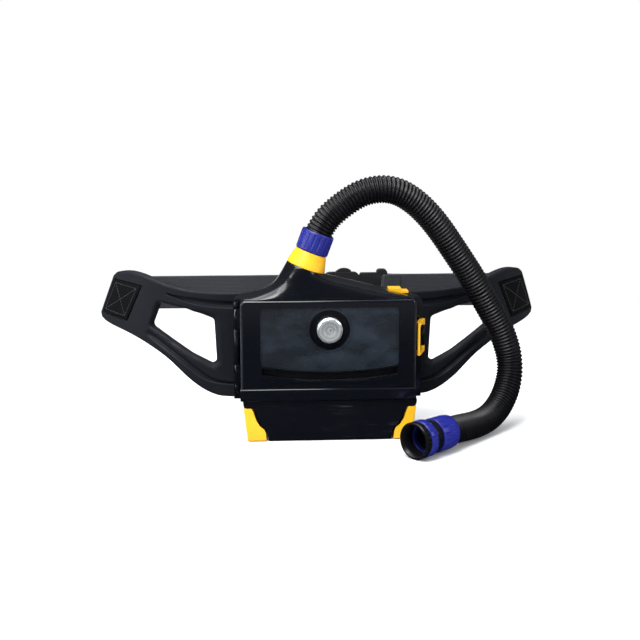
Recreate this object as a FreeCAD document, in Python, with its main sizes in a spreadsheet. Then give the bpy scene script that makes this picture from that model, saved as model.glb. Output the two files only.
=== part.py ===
import FreeCAD, Part
import math
import os
import re

import Sketcher
from FreeCAD import Placement, Rotation, Vector

# Powered air respirator: belt-worn blower unit on its battery, with belt, outlet and breathing hose.
# Millimetres. +Z is up, the filter cover faces -Y, and the floor under the battery is Z = 0.

DIMENSIONS = {
    # blower housing
    "frame_left": -128, "frame_right": 134, "frame_front": -61, "frame_low": 60, "frame_high": 192, "wall": 3,
    "joint_line": -36, "rear_face": -18, "rear_left": -125, "rear_right": 131, "rear_high": 184, "cheek_low": 50, "cheek_wide": 9,
    # filter cover
    "cover_left": -118, "cover_right": 120.5, "cover_front": -106, "cover_low": 57.5, "cover_high": 196,
    "cover_wall": 2.5, "panel_middle": 2.5, "panel_half": 94, "panel_high": 185.5, "panel_low": 98,
    "panel_sag": 8.5, "panel_depth": 2.5, "slot_half": 92, "slot_low": 86, "slot_high": 96.3, "slot_sag": 7.5,
    "lip_low": 80.5, "lip_proud": 0.8, "ledge_high": 74.5, "hinge_across": -123, "hinge_depth": -66, "pin_radius": 1.5, "latch_across": 133.5,
    # lock disc in the middle of the cover
    "lock_across": 2.5, "lock_height": 155, "disc_radius": 17.3, "well_radius": 27.6, "disc_front": -110,
    # blower
    "fan_across": -45, "fan_height": 118, "impeller_radius": 42, "shaft_radius": 2,
    # battery
    "battery_middle": 3.5, "battery_top": 57, "battery_half_top": 119.2, "battery_half_low": 113,
    "battery_front": -105, "battery_rear": -22, "tongue_in": 108, "tongue_out": 111.6,
    # outlet, spout and couplings
    "spout_across": -28.3, "spout_depth": -71, "spout_height": 236.2, "spout_tilt": 20.5,
    "collar_low": 27, "collar_high": 21.4, "collar_length": 22.3, "coupling_radius": 22.6,
    "hose_radius": 19, "hose_bore": 16.6,
    "mouth_across": 105, "mouth_depth": -197, "mouth_height": 25.3, "mouth_turn": 40, "rim_radius": 24.7,
    "lock_ring_radius": 25,
    # belt
    "wing_front": -14, "wing_thick": 14, "wing_bend": 253, "wing_straight": 118, "wing_root": 38,
    "webbing_face": 101.9, "webbing_thick": 2.2, "webbing_low": 149, "webbing_high": 199,
    "buckle_front": 96, "buckle_rear": 110,
}

doc = FreeCAD.newDocument("powered_air_respirator")
sheet = doc.addObject("Spreadsheet::Sheet", "Dims")
for row, (alias, size) in enumerate(DIMENSIONS.items(), start=1):
    sheet.set(f"A{row}", alias)
    sheet.set(f"B{row}", str(size))
    sheet.setAlias(f"B{row}", alias)
doc.recompute()

WORD = re.compile(r"[a-z]+_[a-z_]+|wall\b")
nodes = []


# ---------------------------------------------------------------- expressions and placing

def size(alias):
    """The number that the spreadsheet holds under this alias."""
    return float(sheet.get(alias))


def formula(text):
    """The same sum with every alias written as a cell of the sheet."""
    return WORD.sub(lambda found: "Dims." + found.group(), str(text))


def number(text):
    """What a sum of aliases and numbers comes to."""
    plain = WORD.sub(lambda found: f"({size(found.group())})", str(text))
    return FreeCAD.Units.Quantity(plain).Value


def bind(thing, **sizes):
    for prop, text in sizes.items():
        thing.setExpression(prop, formula(text))
    return thing


def place(thing, across, depth, height, turn=None):
    thing.Placement = Placement(
        Vector(number(across), number(depth), number(height)), turn or Rotation())
    for letter, text in zip("xyz", (across, depth, height)):
        thing.setExpression(f"Placement.Base.{letter}", formula(text))
    return thing


TURNS = {
    "+Z": Rotation(),
    "-Z": Rotation(Vector(1, 0, 0), 180),
    "+Y": Rotation(Vector(1, 0, 0), -90),
    "-Y": Rotation(Vector(1, 0, 0), 90),
    "+X": Rotation(Vector(0, 1, 0), 90),
    "-X": Rotation(Vector(0, 1, 0), -90),
}


def keep(label, thing):
    """Make this object the node of that name."""
    thing.Label = label
    nodes.append(thing)
    return thing


def new(kind):
    return doc.addObject(kind, "shape")


# ---------------------------------------------------------------- solids

def box(low, high):
    """A box between two corners, each a triple of sums."""
    block = new("Part::Box")
    spans = [f"({top}) - ({bottom})" for bottom, top in zip(low, high)]
    bind(block, Length=spans[0], Width=spans[1], Height=spans[2])
    return place(block, *low)


def rod(radius, length, base, axis="+Z"):
    cylinder = bind(new("Part::Cylinder"), Radius=radius, Height=length)
    return place(cylinder, *base, TURNS[axis])


def fuse(*parts):
    joined = new("Part::MultiFuse")
    joined.Shapes = list(parts)
    joined.Refine = True
    return joined


def cut(base, *tools):
    for tool in tools:
        result = new("Part::Cut")
        result.Base = base
        result.Tool = tool
        result.Refine = True
        base = result
    return base


def common(first, second):
    result = new("Part::Common")
    result.Base = first
    result.Tool = second
    return result


def group(*parts):
    together = new("Part::Compound")
    together.Links = list(parts)
    return together


def rounded(base, radius, chosen):
    """Fillet the edges that chosen(edge) picks."""
    doc.recompute()
    result = new("Part::Fillet")
    result.Base = base
    result.Edges = [(index, radius, radius) for index, edge in enumerate(base.Shape.Edges, start=1)
                    if chosen(edge)]
    return result


def along(letter):
    """True for straight edges parallel to that axis."""
    axis = {"X": Vector(1, 0, 0), "Y": Vector(0, 1, 0), "Z": Vector(0, 0, 1)}[letter]

    def test(edge):
        straight = isinstance(edge.Curve, Part.Line)
        return straight and abs(edge.Curve.Direction.dot(axis)) > 0.999
    return test


def lying_at(letter, level):
    """True for edges that lie wholly in the plane where that coordinate has this value."""
    def test(edge):
        bounds = edge.BoundBox
        low = getattr(bounds, letter + "Min")
        high = getattr(bounds, letter + "Max")
        return abs(low - level) < 0.02 and abs(high - level) < 0.02
    return test


def outline_sketch(body, plane, points):
    """A closed outline of straight lines on one origin plane of the body, each corner bound to its sums."""
    sketch = body.newObject("Sketcher::SketchObject", "outline")
    support = [item for item in body.Origin.OriginFeatures if item.Role == plane][0]
    sketch.AttachmentSupport = [(support, "")]
    sketch.MapMode = "FlatFace"
    corners = [Vector(number(right), number(up), 0) for right, up in points]
    count = len(corners)
    for index in range(count):
        sketch.addGeometry(Part.LineSegment(corners[index], corners[(index + 1) % count]), False)
    for index in range(count):
        sketch.addConstraint(Sketcher.Constraint("Coincident", index, 2, (index + 1) % count, 1))
    for index, (right, up) in enumerate(points):
        for kind, text in (("DistanceX", right), ("DistanceY", up)):
            line = sketch.addConstraint(Sketcher.Constraint(kind, -1, 1, index, 1, number(text)))
            if WORD.search(str(text)):
                sketch.setExpression(f"Constraints[{line}]", formula(text))
    return sketch


def turned(profile, base=(0, 0, 0), turn=None):
    """A body turned about its own Z axis from (radius, height) corners."""
    body = new("PartDesign::Body")
    sketch = outline_sketch(body, "XZ_Plane", profile)
    lathe = body.newObject("PartDesign::Revolution", "lathe")
    lathe.Profile = sketch
    lathe.ReferenceAxis = (sketch, ["V_Axis"])
    lathe.Angle = 360
    body.Tip = lathe
    return place(body, *base, turn)


def ring(outer, inner, low, high, base=(0, 0, 0), turn=None):
    return turned([(inner, low), (outer, low), (outer, high), (inner, high)], base, turn)


def extruded(points, front, rear):
    """An outline in X and Z drawn at Y = front and padded back to Y = rear."""
    body = new("PartDesign::Body")
    sketch = outline_sketch(body, "XZ_Plane", points)
    pad = body.newObject("PartDesign::Pad", "pad")
    pad.Profile = sketch
    bind(pad, Length=f"({rear}) - ({front})")
    body.Tip = pad
    return place(body, "0", rear, "0")


def made(shape):
    """A shape built with Part's own functions."""
    feature = new("Part::Feature")
    feature.Shape = shape
    return feature


def from_axis(base, turn, along_axis):
    """The point at this distance along the turned Z axis from a base named by three aliases."""
    return Vector(*[size(alias) for alias in base]) + turn.multVec(Vector(0, 0, along_axis))


def fluted(round_piece, base, turn, radius, depth, low, high, count):
    """Shallow grooves along the outside of a round piece, evenly spaced round its axis."""
    grooves = []
    for step in range(count):
        groove = bind(new("Part::Cylinder"), Radius=depth, Height=high - low)
        spin = Placement(Vector(), Rotation(Vector(0, 0, 1), 360 * step / count))
        groove.Placement = Placement(from_axis(base, turn, 0), turn).multiply(spin).multiply(
            Placement(Vector(radius, 0, low), Rotation()))
        grooves.append(groove)
    return cut(round_piece, group(*grooves))


def mirrored(thing, middle="0"):
    """The same piece on the other side of the upright plane at this X."""
    result = new("Part::Mirroring")
    result.Source = thing
    result.Normal = Vector(1, 0, 0)
    result.Base = Vector(number(middle), 0, 0)
    result.setExpression("Base.x", formula(middle))
    return result


# ---------------------------------------------------------------- housing

def shoulder_section(left, right, half_depth, power):
    """A closed curve through a superellipse whose ends are the points left and right in X and Z."""
    middle = (left + right) * 0.5
    reach = (right - left) * 0.5
    points = []
    for step in range(32):
        angle = 2 * math.pi * step / 32
        sides = [math.copysign(abs(wave) ** (2 / power), wave) for wave in (math.cos(angle), math.sin(angle))]
        points.append(middle + reach * sides[0] + Vector(0, half_depth * sides[1], 0))
    curve = Part.BSplineCurve()
    curve.interpolate(points, PeriodicFlag=True)
    return Part.Wire([curve.toShape()])


def shoulder_loft(inset, drop):
    """The shoulder that gathers from the width of the cover to the round neck of the spout."""
    depth = size("spout_depth")
    neck = size("collar_low") - 0.6
    tilt = math.radians(size("spout_tilt"))
    root = Vector(size("spout_across"), depth, size("spout_height"))
    side = Vector(math.cos(tilt), 0, -math.sin(tilt)) * neck
    stations = [
        (Vector(-119, depth, 196.6), Vector(119, depth, 196.6), 33.5, 7),
        (Vector(-101, depth, 199.6), Vector(104, depth, 200.2), 33, 6),
        (Vector(-81, depth, 207.5), Vector(70, depth, 207.5), 31.5, 4.5),
        (Vector(-68, depth, 220), Vector(32, depth, 217), 29.5, 3.2),
        (Vector(-59.5, depth, 234), Vector(3.5, depth, 224), 27.8, 2.4),
        (root - side, root + side, neck, 2),
    ]
    wires = []
    for left, right, half_depth, power in stations:
        inward = (right - left).normalize() * inset
        lower = Vector(0, 0, -drop)
        wires.append(shoulder_section(left + inward + lower, right - inward + lower,
                                      half_depth - inset, power))
    return made(Part.makeLoft(wires, True, False))


def spout_turn():
    return Rotation(Vector(0, 1, 0), size("spout_tilt"))


SPOUT = ("spout_across", "spout_depth", "spout_height")


def front_housing():
    plate = rounded(box(("frame_left", "frame_front", "frame_low"), ("frame_right", "joint_line", "frame_high")),
                    8, along("Y"))
    cheeks = [box((left, "frame_front", "cheek_low"), (f"{left} + cheek_wide", "joint_line", "frame_low + 9"))
              for left in ("frame_left", "frame_right - cheek_wide")]
    hollow = box(("frame_left + wall", "frame_front + wall", "frame_low + wall"),
                 ("frame_right - wall", "joint_line + 1", "frame_high - wall"))
    neck_block = box(("-100", "frame_front + 0.5", "frame_high - 8"), ("96", "joint_line - 2", "199"))
    duct_room = shoulder_loft(3.2, 3)
    above_cover = box(("-130", "cover_front - 5", "199.4"), ("130", "0", "260"))
    way_up = box(("-85", "frame_front + wall", "frame_high - 10"), ("40", "joint_line - 5", "202"))
    spigot = ring("17", "14.5", "-8", "34", SPOUT, spout_turn())
    bore = rod("14.5", "60", SPOUT)
    place(bore, *SPOUT, spout_turn())
    neck_bore = rod("14.5", "9", SPOUT)
    neck_bore.Placement = Placement(from_axis(SPOUT, spout_turn(), -9), spout_turn())
    outer = fuse(plate, *cheeks, neck_block, shoulder_loft(0, 0))
    shell = cut(outer, hollow, common(duct_room, above_cover), way_up)
    with_spigot = fuse(shell, spigot, *housing_lugs(), *screw_posts())
    button_well = box(("84.4", "-80", "198.1"), ("112.6", "-62", "215"))
    inlet = rod("28.3", "wall + 4", ("fan_across", "frame_front - 2", "fan_height"), "+Y")
    nut_seat = rod("6.1", "wall + 4", ("lock_across", "frame_front - 2", "lock_height"), "+Y")
    tongue_slot = box(("battery_middle + tongue_in - 3.5", "-59.3", "frame_low - 2"),
                      ("battery_middle + tongue_out + 0.7", "-38.7", "frame_low + wall + 3"))
    contact_slot = box(("battery_middle - 23", "-57", "frame_low - 2"),
                       ("battery_middle + 23", "-39", "frame_low + wall + 2"))
    holes = [rod("pin_radius", "150", (at, "hinge_depth", "cheek_low"))
             for at in ("hinge_across", "latch_across")]
    keep("front_housing", cut(with_spigot, bore, neck_bore, button_well, inlet, nut_seat, tongue_slot,
                              mirrored(tongue_slot, "battery_middle"), contact_slot, *holes,
                              *screw_holes("1.5")))


def housing_lugs():
    """Hinge knuckles of the cover at the left and the lug of the latch bail at the right."""
    lugs = []
    for low, high in ((62, 71.7), (100.3, 149.7), (178.3, 188)):
        lugs.append(rod("4", high - low, ("hinge_across", "hinge_depth", low)))
        lugs.append(box(("hinge_across - 3", "hinge_depth", low), ("hinge_across + 2", "frame_front + 1", high)))
    lugs.append(rod("4", "28.9", ("latch_across", "hinge_depth", "124.8")))
    lugs.append(box(("latch_across - 9", "hinge_depth - 2", "124.8"),
                    ("latch_across", "frame_front + 6", "153.7")))
    return lugs


SCREW_PLACES = [(-112, 74), (112, 74), (-112, 172), (112, 172)]


def screw_posts():
    return [rod("4", "joint_line - frame_front - 1", (x, "frame_front + 1", z), "+Y") for x, z in SCREW_PLACES]


def screw_holes(radius):
    return [rod(radius, "30", (x, "joint_line - 12", z), "+Y") for x, z in SCREW_PLACES]


def rear_housing():
    block = box(("rear_left", "joint_line", "frame_low + 2"), ("rear_right", "rear_face", "rear_high"))
    softened = rounded(rounded(block, 12, along("Y")), 6, lying_at("Y", size("rear_face")))
    hollow = box(("rear_left + wall", "joint_line - 1", "frame_low + 2 + wall"),
                 ("rear_right - wall", "rear_face - wall", "rear_high - wall"))
    corner = [rod("8", "rear_face - joint_line - 2", (x, "joint_line", z), "+Y") for x, z in SCREW_PLACES]
    shell = fuse(cut(softened, hollow), *[common(post, block) for post in corner])
    heads = [rod("3.2", "4", (x, "rear_face - 2.6", z), "+Y") for x, z in SCREW_PLACES]
    keep("rear_housing", cut(shell, *screw_holes("1.6"), *heads))


def housing_screws():
    screws = []
    for x, z in SCREW_PLACES:
        profile = [(0, 0), (1.45, 0), (1.45, 24), (3, 24), (3, 26), (0, 26)]
        screws.append(turned(profile, (x, "joint_line - 8.5", z), TURNS["+Y"]))
    keep("housing_screws", group(*screws))


# ---------------------------------------------------------------- filter cover

def arc_band(lowest, sag, half_width, front, rear):
    """A tall block, centred on the panel, whose lower side is an arc that is lowest in the middle."""
    half = number(half_width)
    sunk = number(sag)
    radius = (half ** 2 + sunk ** 2) / (2 * sunk)
    disc = rod(radius, f"({rear}) - ({front})", ("panel_middle", front, number(lowest) + radius), "+Y")
    return common(disc, box((f"panel_middle - ({half_width})", front, lowest),
                            (f"panel_middle + ({half_width})", rear, "panel_high")))


def filter_cover():
    block = box(("cover_left", "cover_front", "cover_low"), ("cover_right", "frame_front - 0.5", "cover_high"))
    softened = rounded(rounded(block, 7, along("Y")), 4, lying_at("Y", size("cover_front")))
    ledge_block = box(("cover_left - 1", "cover_front - 2.5", "cover_low"),
                      ("cover_right + 1", "cover_front + 14", "ledge_high"))
    ledge = rounded(ledge_block, 2.4, lambda edge: edge.BoundBox.YMax < size("cover_front") - 2)
    knuckles = []
    for low, high in ((72, 100), (150, 178)):
        knuckles.append(rod("4", high - low, ("hinge_across", "hinge_depth", low)))
        knuckles.append(box(("hinge_across", "hinge_depth - 4", low), ("cover_left + 1", "hinge_depth", high)))
    lip = cut(arc_band("lip_low", "slot_sag", "slot_half + 3", "cover_front - lip_proud", "cover_front + 2"),
              arc_band("slot_low + 2", "slot_sag", "slot_half + 8", "cover_front - 3", "cover_front + 3"))
    nub = box(("cover_right - 1", "-92", "131"), ("cover_right + 1.4", "-76", "147"))
    hollow = box(("cover_left + cover_wall", "cover_front + cover_wall + 2.5", "cover_low + cover_wall"),
                 ("cover_right - cover_wall", "frame_front", "cover_high - cover_wall"))
    well_wall = rod("well_radius + 3", "9", ("lock_across", "cover_front + 1.5", "lock_height"), "+Y")
    rim = ring("well_radius + 2.2", "well_radius", "-1.2", "4",
               ("lock_across", "cover_front + 2.5", "lock_height"), TURNS["+Y"])
    panel = arc_band("panel_low", "panel_sag", "panel_half", "cover_front - 5", "cover_front + panel_depth")
    soft_panel = rounded(panel, 5, along("Y"))
    body = fuse(cut(fuse(softened, ledge, lip, *knuckles, nub), hollow, soft_panel), rim)
    well = rod("well_radius", "20", ("lock_across", "cover_front - 12.8", "lock_height"), "+Y")
    stem_hole = rod("3.5", "20", ("lock_across", "cover_front - 2", "lock_height"), "+Y")
    slot = cut(arc_band("slot_low", "slot_sag", "slot_half", "cover_front - 5", "cover_front + 12"),
               arc_band("slot_high", "slot_sag", "slot_half + 4", "cover_front - 6", "cover_front + 13"))
    pin_hole = rod("pin_radius + 0.06", "150", ("hinge_across", "hinge_depth", "cheek_low"))
    keep("filter_cover", cut(fuse(body, well_wall), well, stem_hole, slot, pin_hole))


def cover_fittings():
    keep("hinge_pin", rod("pin_radius", "124.6", ("hinge_across", "hinge_depth", "62.7")))
    base = ("lock_across", "disc_front", "lock_height")
    body = turned([(0, 1), (6, 1), (6, 0.4), (12.5, 0), (15, 0), ("disc_radius", 1.5), ("disc_radius", 8.5),
                   (9, 10.5), (3, 10.5), (3, 50.6), (0, 50.6)], base, TURNS["+Y"])
    sketch = body.newObject("Sketcher::SketchObject", "hexagon")
    support = [item for item in body.Origin.OriginFeatures if item.Role == "XY_Plane"][0]
    sketch.AttachmentSupport = [(support, "")]
    sketch.MapMode = "FlatFace"
    corners = [Vector(1.75 * math.cos(math.radians(60 * side)), 1.75 * math.sin(math.radians(60 * side)), 0)
               for side in range(6)]
    for side in range(6):
        sketch.addGeometry(Part.LineSegment(corners[side], corners[(side + 1) % 6]), False)
    doc.recompute()
    pocket = body.newObject("PartDesign::Pocket", "hex_socket")
    pocket.Profile = sketch
    pocket.Length = 5
    pocket.Reversed = True
    body.Tip = pocket
    keep("lock_disc", body)
    keep("lock_clip", ring("6", "3.06", "15.2", "16.2", base, TURNS["+Y"]))
    keep("lock_nut", ring("6", "3.8", "0", "8", ("lock_across", "frame_front", "lock_height"), TURNS["+Y"]))


def cover_latch():
    """A bail: a bar beside the cover's right edge on two arms that turn on one upright pin."""
    bar = rounded(box(("123.2", "-98", "116.5"), ("126.8", "-93.4", "161.5")), 1.2, along("Z"))
    pieces = [bar]
    for arm_low, barrel_low, barrel_long in ((116.5, 116.5, 8), (157.5, 154, 7.5)):
        pieces.append(rod("4", barrel_long, ("latch_across", "hinge_depth", barrel_low)))
        arm = new("PartDesign::Body")
        sketch = outline_sketch(arm, "XY_Plane", [("123.2", "-97"), ("126.8", "-98"), ("137.4", "-67"),
                                                  ("130.2", "-64"), ("123.2", "-88")])
        pad = arm.newObject("PartDesign::Pad", "pad")
        pad.Profile = sketch
        pad.Length = 4
        arm.Tip = pad
        pieces.append(place(arm, "0", "0", arm_low))
    hole = rod("pin_radius + 0.06", "60", ("latch_across", "hinge_depth", "110"))
    keep("cover_latch", cut(fuse(*pieces), hole))
    keep("latch_pin", rod("pin_radius", "48", ("latch_across", "hinge_depth", "115")))


# ---------------------------------------------------------------- filters

def layer(front, rear, low, high, half, hole):
    sheet_block = box((f"-{half}", front, low), (half, rear, high))
    opening = rod(hole, "60", ("lock_across", "cover_front", "lock_height"), "+Y")
    return cut(sheet_block, opening)


def filters():
    keep("spark_arrestor", layer("-95.2", "-94.4", "72", "188", "104", "12"))
    keep("prefilter", layer("-94.2", "-89.6", "71", "189", "105", "12"))
    frame = cut(box(("-106", "-89.2", "68"), ("106", "-64.4", "190")),
                box(("-103", "-90", "71"), ("103", "-64", "187")))
    tube = rod("11", "24.8", ("lock_across", "-89.2", "lock_height"), "+Y")
    bore = rod("9", "40", ("lock_across", "-95", "lock_height"), "+Y")
    ribs = [box(("-104", "-89.2", "153.5"), ("104", "-87.8", "156.5")),
            box(("lock_across - 1.5", "-89.2", "69"), ("lock_across + 1.5", "-87.8", "189"))]
    keep("filter_frame", cut(fuse(frame, tube, *ribs), bore))
    count = 34
    half = 102.7
    pitch = 2 * half / count
    front = []
    rear = []
    for fold in range(count + 1):
        level = -87.5 if fold % 2 else -67
        front.append(Vector(-half + fold * pitch, level, 71.3))
        rear.append(Vector(-half + fold * pitch, level + 0.9, 71.3))
    outline = Part.makePolygon(front + rear[::-1] + front[:1])
    pleats = made(Part.Face(outline).extrude(Vector(0, 0, 115.4)))
    keep("filter_media", cut(pleats, rod("11.3", "60", ("lock_across", "-100", "lock_height"), "+Y")))
    gasket = cut(box(("-105", "-64.2", "69"), ("105", "-61.2", "189")),
                 box(("-99", "-65", "75"), ("99", "-60", "183")))
    keep("filter_gasket", gasket)


# ---------------------------------------------------------------- blower

def blower():
    outer = fuse(rod("52", "32", ("fan_across", "-57.6", "fan_height"), "+Y"),
                 box(("-97", "-57.6", "120"), ("-62", "-25.6", "180.6")))
    inner = fuse(rod("50", "30", ("fan_across", "-57.7", "fan_height"), "+Y"),
                 box(("-95", "-57.7", "120"), ("-64", "-27.7", "182")))
    back_hole = rod("20", "10", ("fan_across", "-30", "fan_height"), "+Y")
    front_face = box(("-120", "-58", "60"), ("20", "-55.4", "190"))
    keep("scroll_casing", cut(cut(outer, inner, back_hole), front_face))
    lid = cut(common(fuse(rod("52", "2.2", ("fan_across", "-57.8", "fan_height"), "+Y"),
                          box(("-97", "-57.8", "120"), ("-62", "-55.6", "180.6"))),
                     box(("-120", "-58", "60"), ("20", "-55", "182"))),
              rod("26", "10", ("fan_across", "-60", "fan_height"), "+Y"))
    keep("scroll_lid", lid)
    turn = TURNS["+Y"]
    base = ("fan_across", "0", "fan_height")
    impeller(base)
    keep("rotor_cup", turned([("shaft_radius", -39.6), (17.5, -39.6), (17.5, -29), (15.6, -29),
                              (15.6, -37.6), ("shaft_radius", -37.6)], base, turn))
    keep("motor_shaft", rod("shaft_radius", "26", ("fan_across", "-50", "fan_height"), "+Y"))
    keep("stator", ring("15", "6.6", "-36.8", "-28.4", base, turn))
    keep("motor_mount", turned([(5.03, -37), (6.5, -37), (6.5, -25.4), (24, -25.4), (24, -23.2),
                                (5.03, -23.2)], base, turn))
    keep("motor_bearings", group(*[ring("5", "shaft_radius + 0.03", low, low + 4, base, turn)
                                   for low in (-36.6, -27.6)]))
    screws = []
    for side in range(3):
        angle = math.radians(90 + 120 * side)
        x = size("fan_across") + 22 * math.cos(angle)
        z = size("fan_height") + 22 * math.sin(angle)
        screws.append(turned([(0, 0), (2.4, 0), (2.4, 1.6), (0, 1.6)], (x, "-23.1", z), turn))
    keep("motor_screws", group(*screws))


def impeller(base):
    turn = TURNS["+Y"]
    back_disc = turned([("shaft_radius", -41.8), ("shaft_radius", -49), (7, -49), (9, -44),
                        ("impeller_radius", -43.6), ("impeller_radius", -41.8)], base, turn)
    shroud = ring("impeller_radius", "30", "-54.6", "-53.4", base, turn)
    blades = []
    for step in range(22):
        blade = bind(new("Part::Box"), Length=12, Width=1.2, Height=10.6)
        spin = Placement(Vector(), Rotation(Vector(0, 0, 1), 360 * step / 22))
        lean = Placement(Vector(28, -3, -54), Rotation(Vector(0, 0, 1), 30))
        hub = Placement(Vector(*[number(text) for text in base]), turn)
        blade.Placement = hub.multiply(spin).multiply(lean)
        blades.append(blade)
    keep("impeller", fuse(back_disc, shroud, *blades))


# ---------------------------------------------------------------- electronics

CONTACTS = [f"battery_middle - 15 + {10 * index}" for index in range(4)]


def electronics():
    board = box(("18", "-31", "72"), ("104", "-29.4", "166"))
    chips = [box((x, "-33.4", z), (x + 12, "-31", z + 12)) for x, z in ((30, 90), (56, 84), (80, 120))]
    cans = [rod("4", "10", (x, "-41", z), "+Y") for x, z in ((34, 130), (46, 130), (86, 84))]
    keep("control_board", fuse(board, *chips, *cans))
    keep("buzzer", rod("9", "6", ("66", "-37.3", "142"), "+Y"))
    block = box(("battery_middle - 22.7", "-56.7", "57.3"), ("battery_middle + 22.7", "-39.3", "66"))
    holes = [rod("1.5", "12", (x, "-48", "56")) for x in CONTACTS]
    keep("contact_block", cut(block, *holes))
    keep("contact_pins", group(*[rod("1.5", "9.6", (x, "-48", "57.2")) for x in CONTACTS]))
    high = box(("84.8", "-79.6", "200"), ("102", "-62.4", "207.4"))
    low = box(("102", "-79.6", "200"), ("112.2", "-62.4", "203.6"))
    keep("power_button", rounded(fuse(high, low), 0.8, lambda edge: edge.BoundBox.ZMin > 203.5))
    keep("button_spring", ring("3", "2", "198.1", "200", ("92", "-71", "0")))


# ---------------------------------------------------------------- battery

def beside(half):
    """The X that lies this far to the right of the battery's middle, or to its left if negative."""
    return f"battery_middle + {half}"


def wedge(half_low, half_high, low, high):
    """A block as deep as the battery, symmetric about its middle, of one width below and another above."""
    points = [(f"battery_middle - ({half_low})", low), (f"battery_middle + {half_low}", low),
              (f"battery_middle + {half_high}", high), (f"battery_middle - ({half_high})", high)]
    return extruded(points, "battery_front", "battery_rear")


def battery():
    case_top = "battery_top - 7"
    seam_half = "battery_half_top - 0.9"
    soft = rounded(wedge("battery_half_low", seam_half, 0, case_top), 5,
                   lambda edge: lying_at("Y", size("battery_front"))(edge) and edge.BoundBox.ZMin < 1)
    recess = extruded([(beside(84), -2), (beside(85), 13), (beside(87.4), 18.6), (beside(92.8), 22.9),
                       (beside(98), 31.2), (beside(102.4), 44.5), (beside(104.2), 47.8),
                       (beside(126), 47.8), (beside(126), -2)], "battery_front - 2", "battery_rear + 2")
    slot = box((beside("tongue_in - 3"), "-59.3", "40"), (beside("tongue_out + 0.7"), "-38.7", "60"))
    cells_room = box((beside(-76), "battery_front + 3", "3"), (beside(76), "battery_rear - 3", "60"))
    socket_hole = rod("5.1", "20", (beside(50), "battery_rear - 14", "28"), "+Y")
    both_sides = [recess, mirrored(recess, "battery_middle"), slot, mirrored(slot, "battery_middle")]
    keep("battery_case", cut(soft, *both_sides, cells_room, socket_hole))
    lid_room = box((beside(-90), "battery_front + 4", "battery_top - 8"),
                   (beside(90), "battery_rear - 4", "battery_top - 3"))
    plates = [box((f"{x} - 4", "-52", "55.8"), (f"{x} + 4", "-44", "57.5")) for x in CONTACTS]
    keep("battery_lid", cut(wedge(seam_half, "battery_half_top", case_top, "battery_top"), lid_room, slot,
                            mirrored(slot, "battery_middle"), *plates))
    keep("battery_terminals", group(*[box((f"{x} - 3.9", "-51.9", "55.9"), (f"{x} + 3.9", "-44.1", "56.9"))
                                      for x in CONTACTS]))
    cells = []
    for x in (-66.5, 1.5):
        for y in (-83, -63.5, -44):
            for z in (13.2, 32.4):
                cells.append(rod("9.2", "65", (beside(x), y, z), "+X"))
    keep("battery_cells", group(*cells))
    keep("cell_board", box((beside(-60), "-90", "43"), (beside(60), "-36", "44.6")))
    keep("charge_socket", cut(rod("5", "12", (beside(50), "battery_rear - 12", "28"), "+Y"),
                              rod("2.75", "12", (beside(50), "battery_rear - 9.5", "28"), "+Y")))
    battery_latch()


def battery_latch():
    """The hollow corner piece that is pressed inward; its tongue reaches up into the housing."""
    corner = extruded([(beside("battery_half_low + 0.1"), 1.2), (beside(87.4), 1.2), (beside(88.3), 12),
                       (beside(90.6), 17.3), (beside(96), 21.6), (beside(101.2), 30), (beside(105.6), 43.5),
                       (beside(107.8), 47.3), (beside("battery_half_low + 5.1"), 47.3)],
                      "battery_front", "battery_rear - 1")
    soft = rounded(corner, 2, lambda edge: lying_at("Y", size("battery_front"))(edge)
                   and edge.BoundBox.XMax > number(beside("battery_half_low")))
    room = extruded([(beside(75), 4.2), (beside("battery_half_low - 3"), 4.2),
                     (beside("battery_half_low + 1.2"), 44.3), (beside(75), 44.3)],
                    "battery_front + 3", "battery_rear - 4")
    tongue = box((beside("tongue_in"), "-58.5", "44"), (beside("tongue_out"), "-39.5", "62.6"))
    post = rod("2", "14", (beside(97.3), "-63.5", "10"), "+X")
    seat = rod("3.4", "9", (beside(101.6), "-63.5", "10"), "+X")
    right = fuse(cut(soft, room), tongue, post, seat)
    keep("battery_latch_right", right)
    keep("battery_latch_left", mirrored(right, "battery_middle"))
    spring = cut(rod("3.4", "16.2", (beside(85.3), "-63.5", "10"), "+X"),
                 rod("2.3", "20", (beside(83), "-63.5", "10"), "+X"))
    keep("latch_spring_right", spring)
    keep("latch_spring_left", mirrored(spring, "battery_middle"))


# ---------------------------------------------------------------- outlet and hose

def outlet():
    turn = spout_turn()
    keep("outlet_collar", turned([(17.3, 0.3), ("collar_low", 0.3), ("collar_low", 2.2),
                                  ("collar_high + 0.6", "collar_length - 2"), ("collar_high", "collar_length"),
                                  (17.3, "collar_length")], SPOUT, turn))
    seal = bind(new("Part::Torus"), Radius1=18.2, Radius2=1.1)
    seal.Placement = Placement(from_axis(SPOUT, turn, 28), turn)
    keep("outlet_seal", seal)
    grip = turned([(19.6, 22.9), ("coupling_radius - 0.8", 22.9), ("coupling_radius", 24.5),
                   ("coupling_radius", 48.5), ("coupling_radius - 0.8", 50.4), (19.6, 50.4)], SPOUT, turn)
    keep("upper_coupling", fluted(grip, SPOUT, turn, size("coupling_radius") + 1.2, 1.9, 26, 47, 18))
    keep("upper_cuff", turned([(14.6, 35), (18.9, 35), (18.9, 38), ("hose_bore - 0.1", 38),
                               ("hose_bore - 0.1", 47), (14.6, 47)], SPOUT, turn))


def mouth_turn():
    """Turns Z to run from the mouth of the lower coupling back along the hose."""
    heading = math.radians(size("mouth_turn"))
    return Rotation(Vector(0, 0, 1), Vector(math.cos(heading), math.sin(heading), 0))


MOUTH = ("mouth_across", "mouth_depth", "mouth_height")


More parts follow.
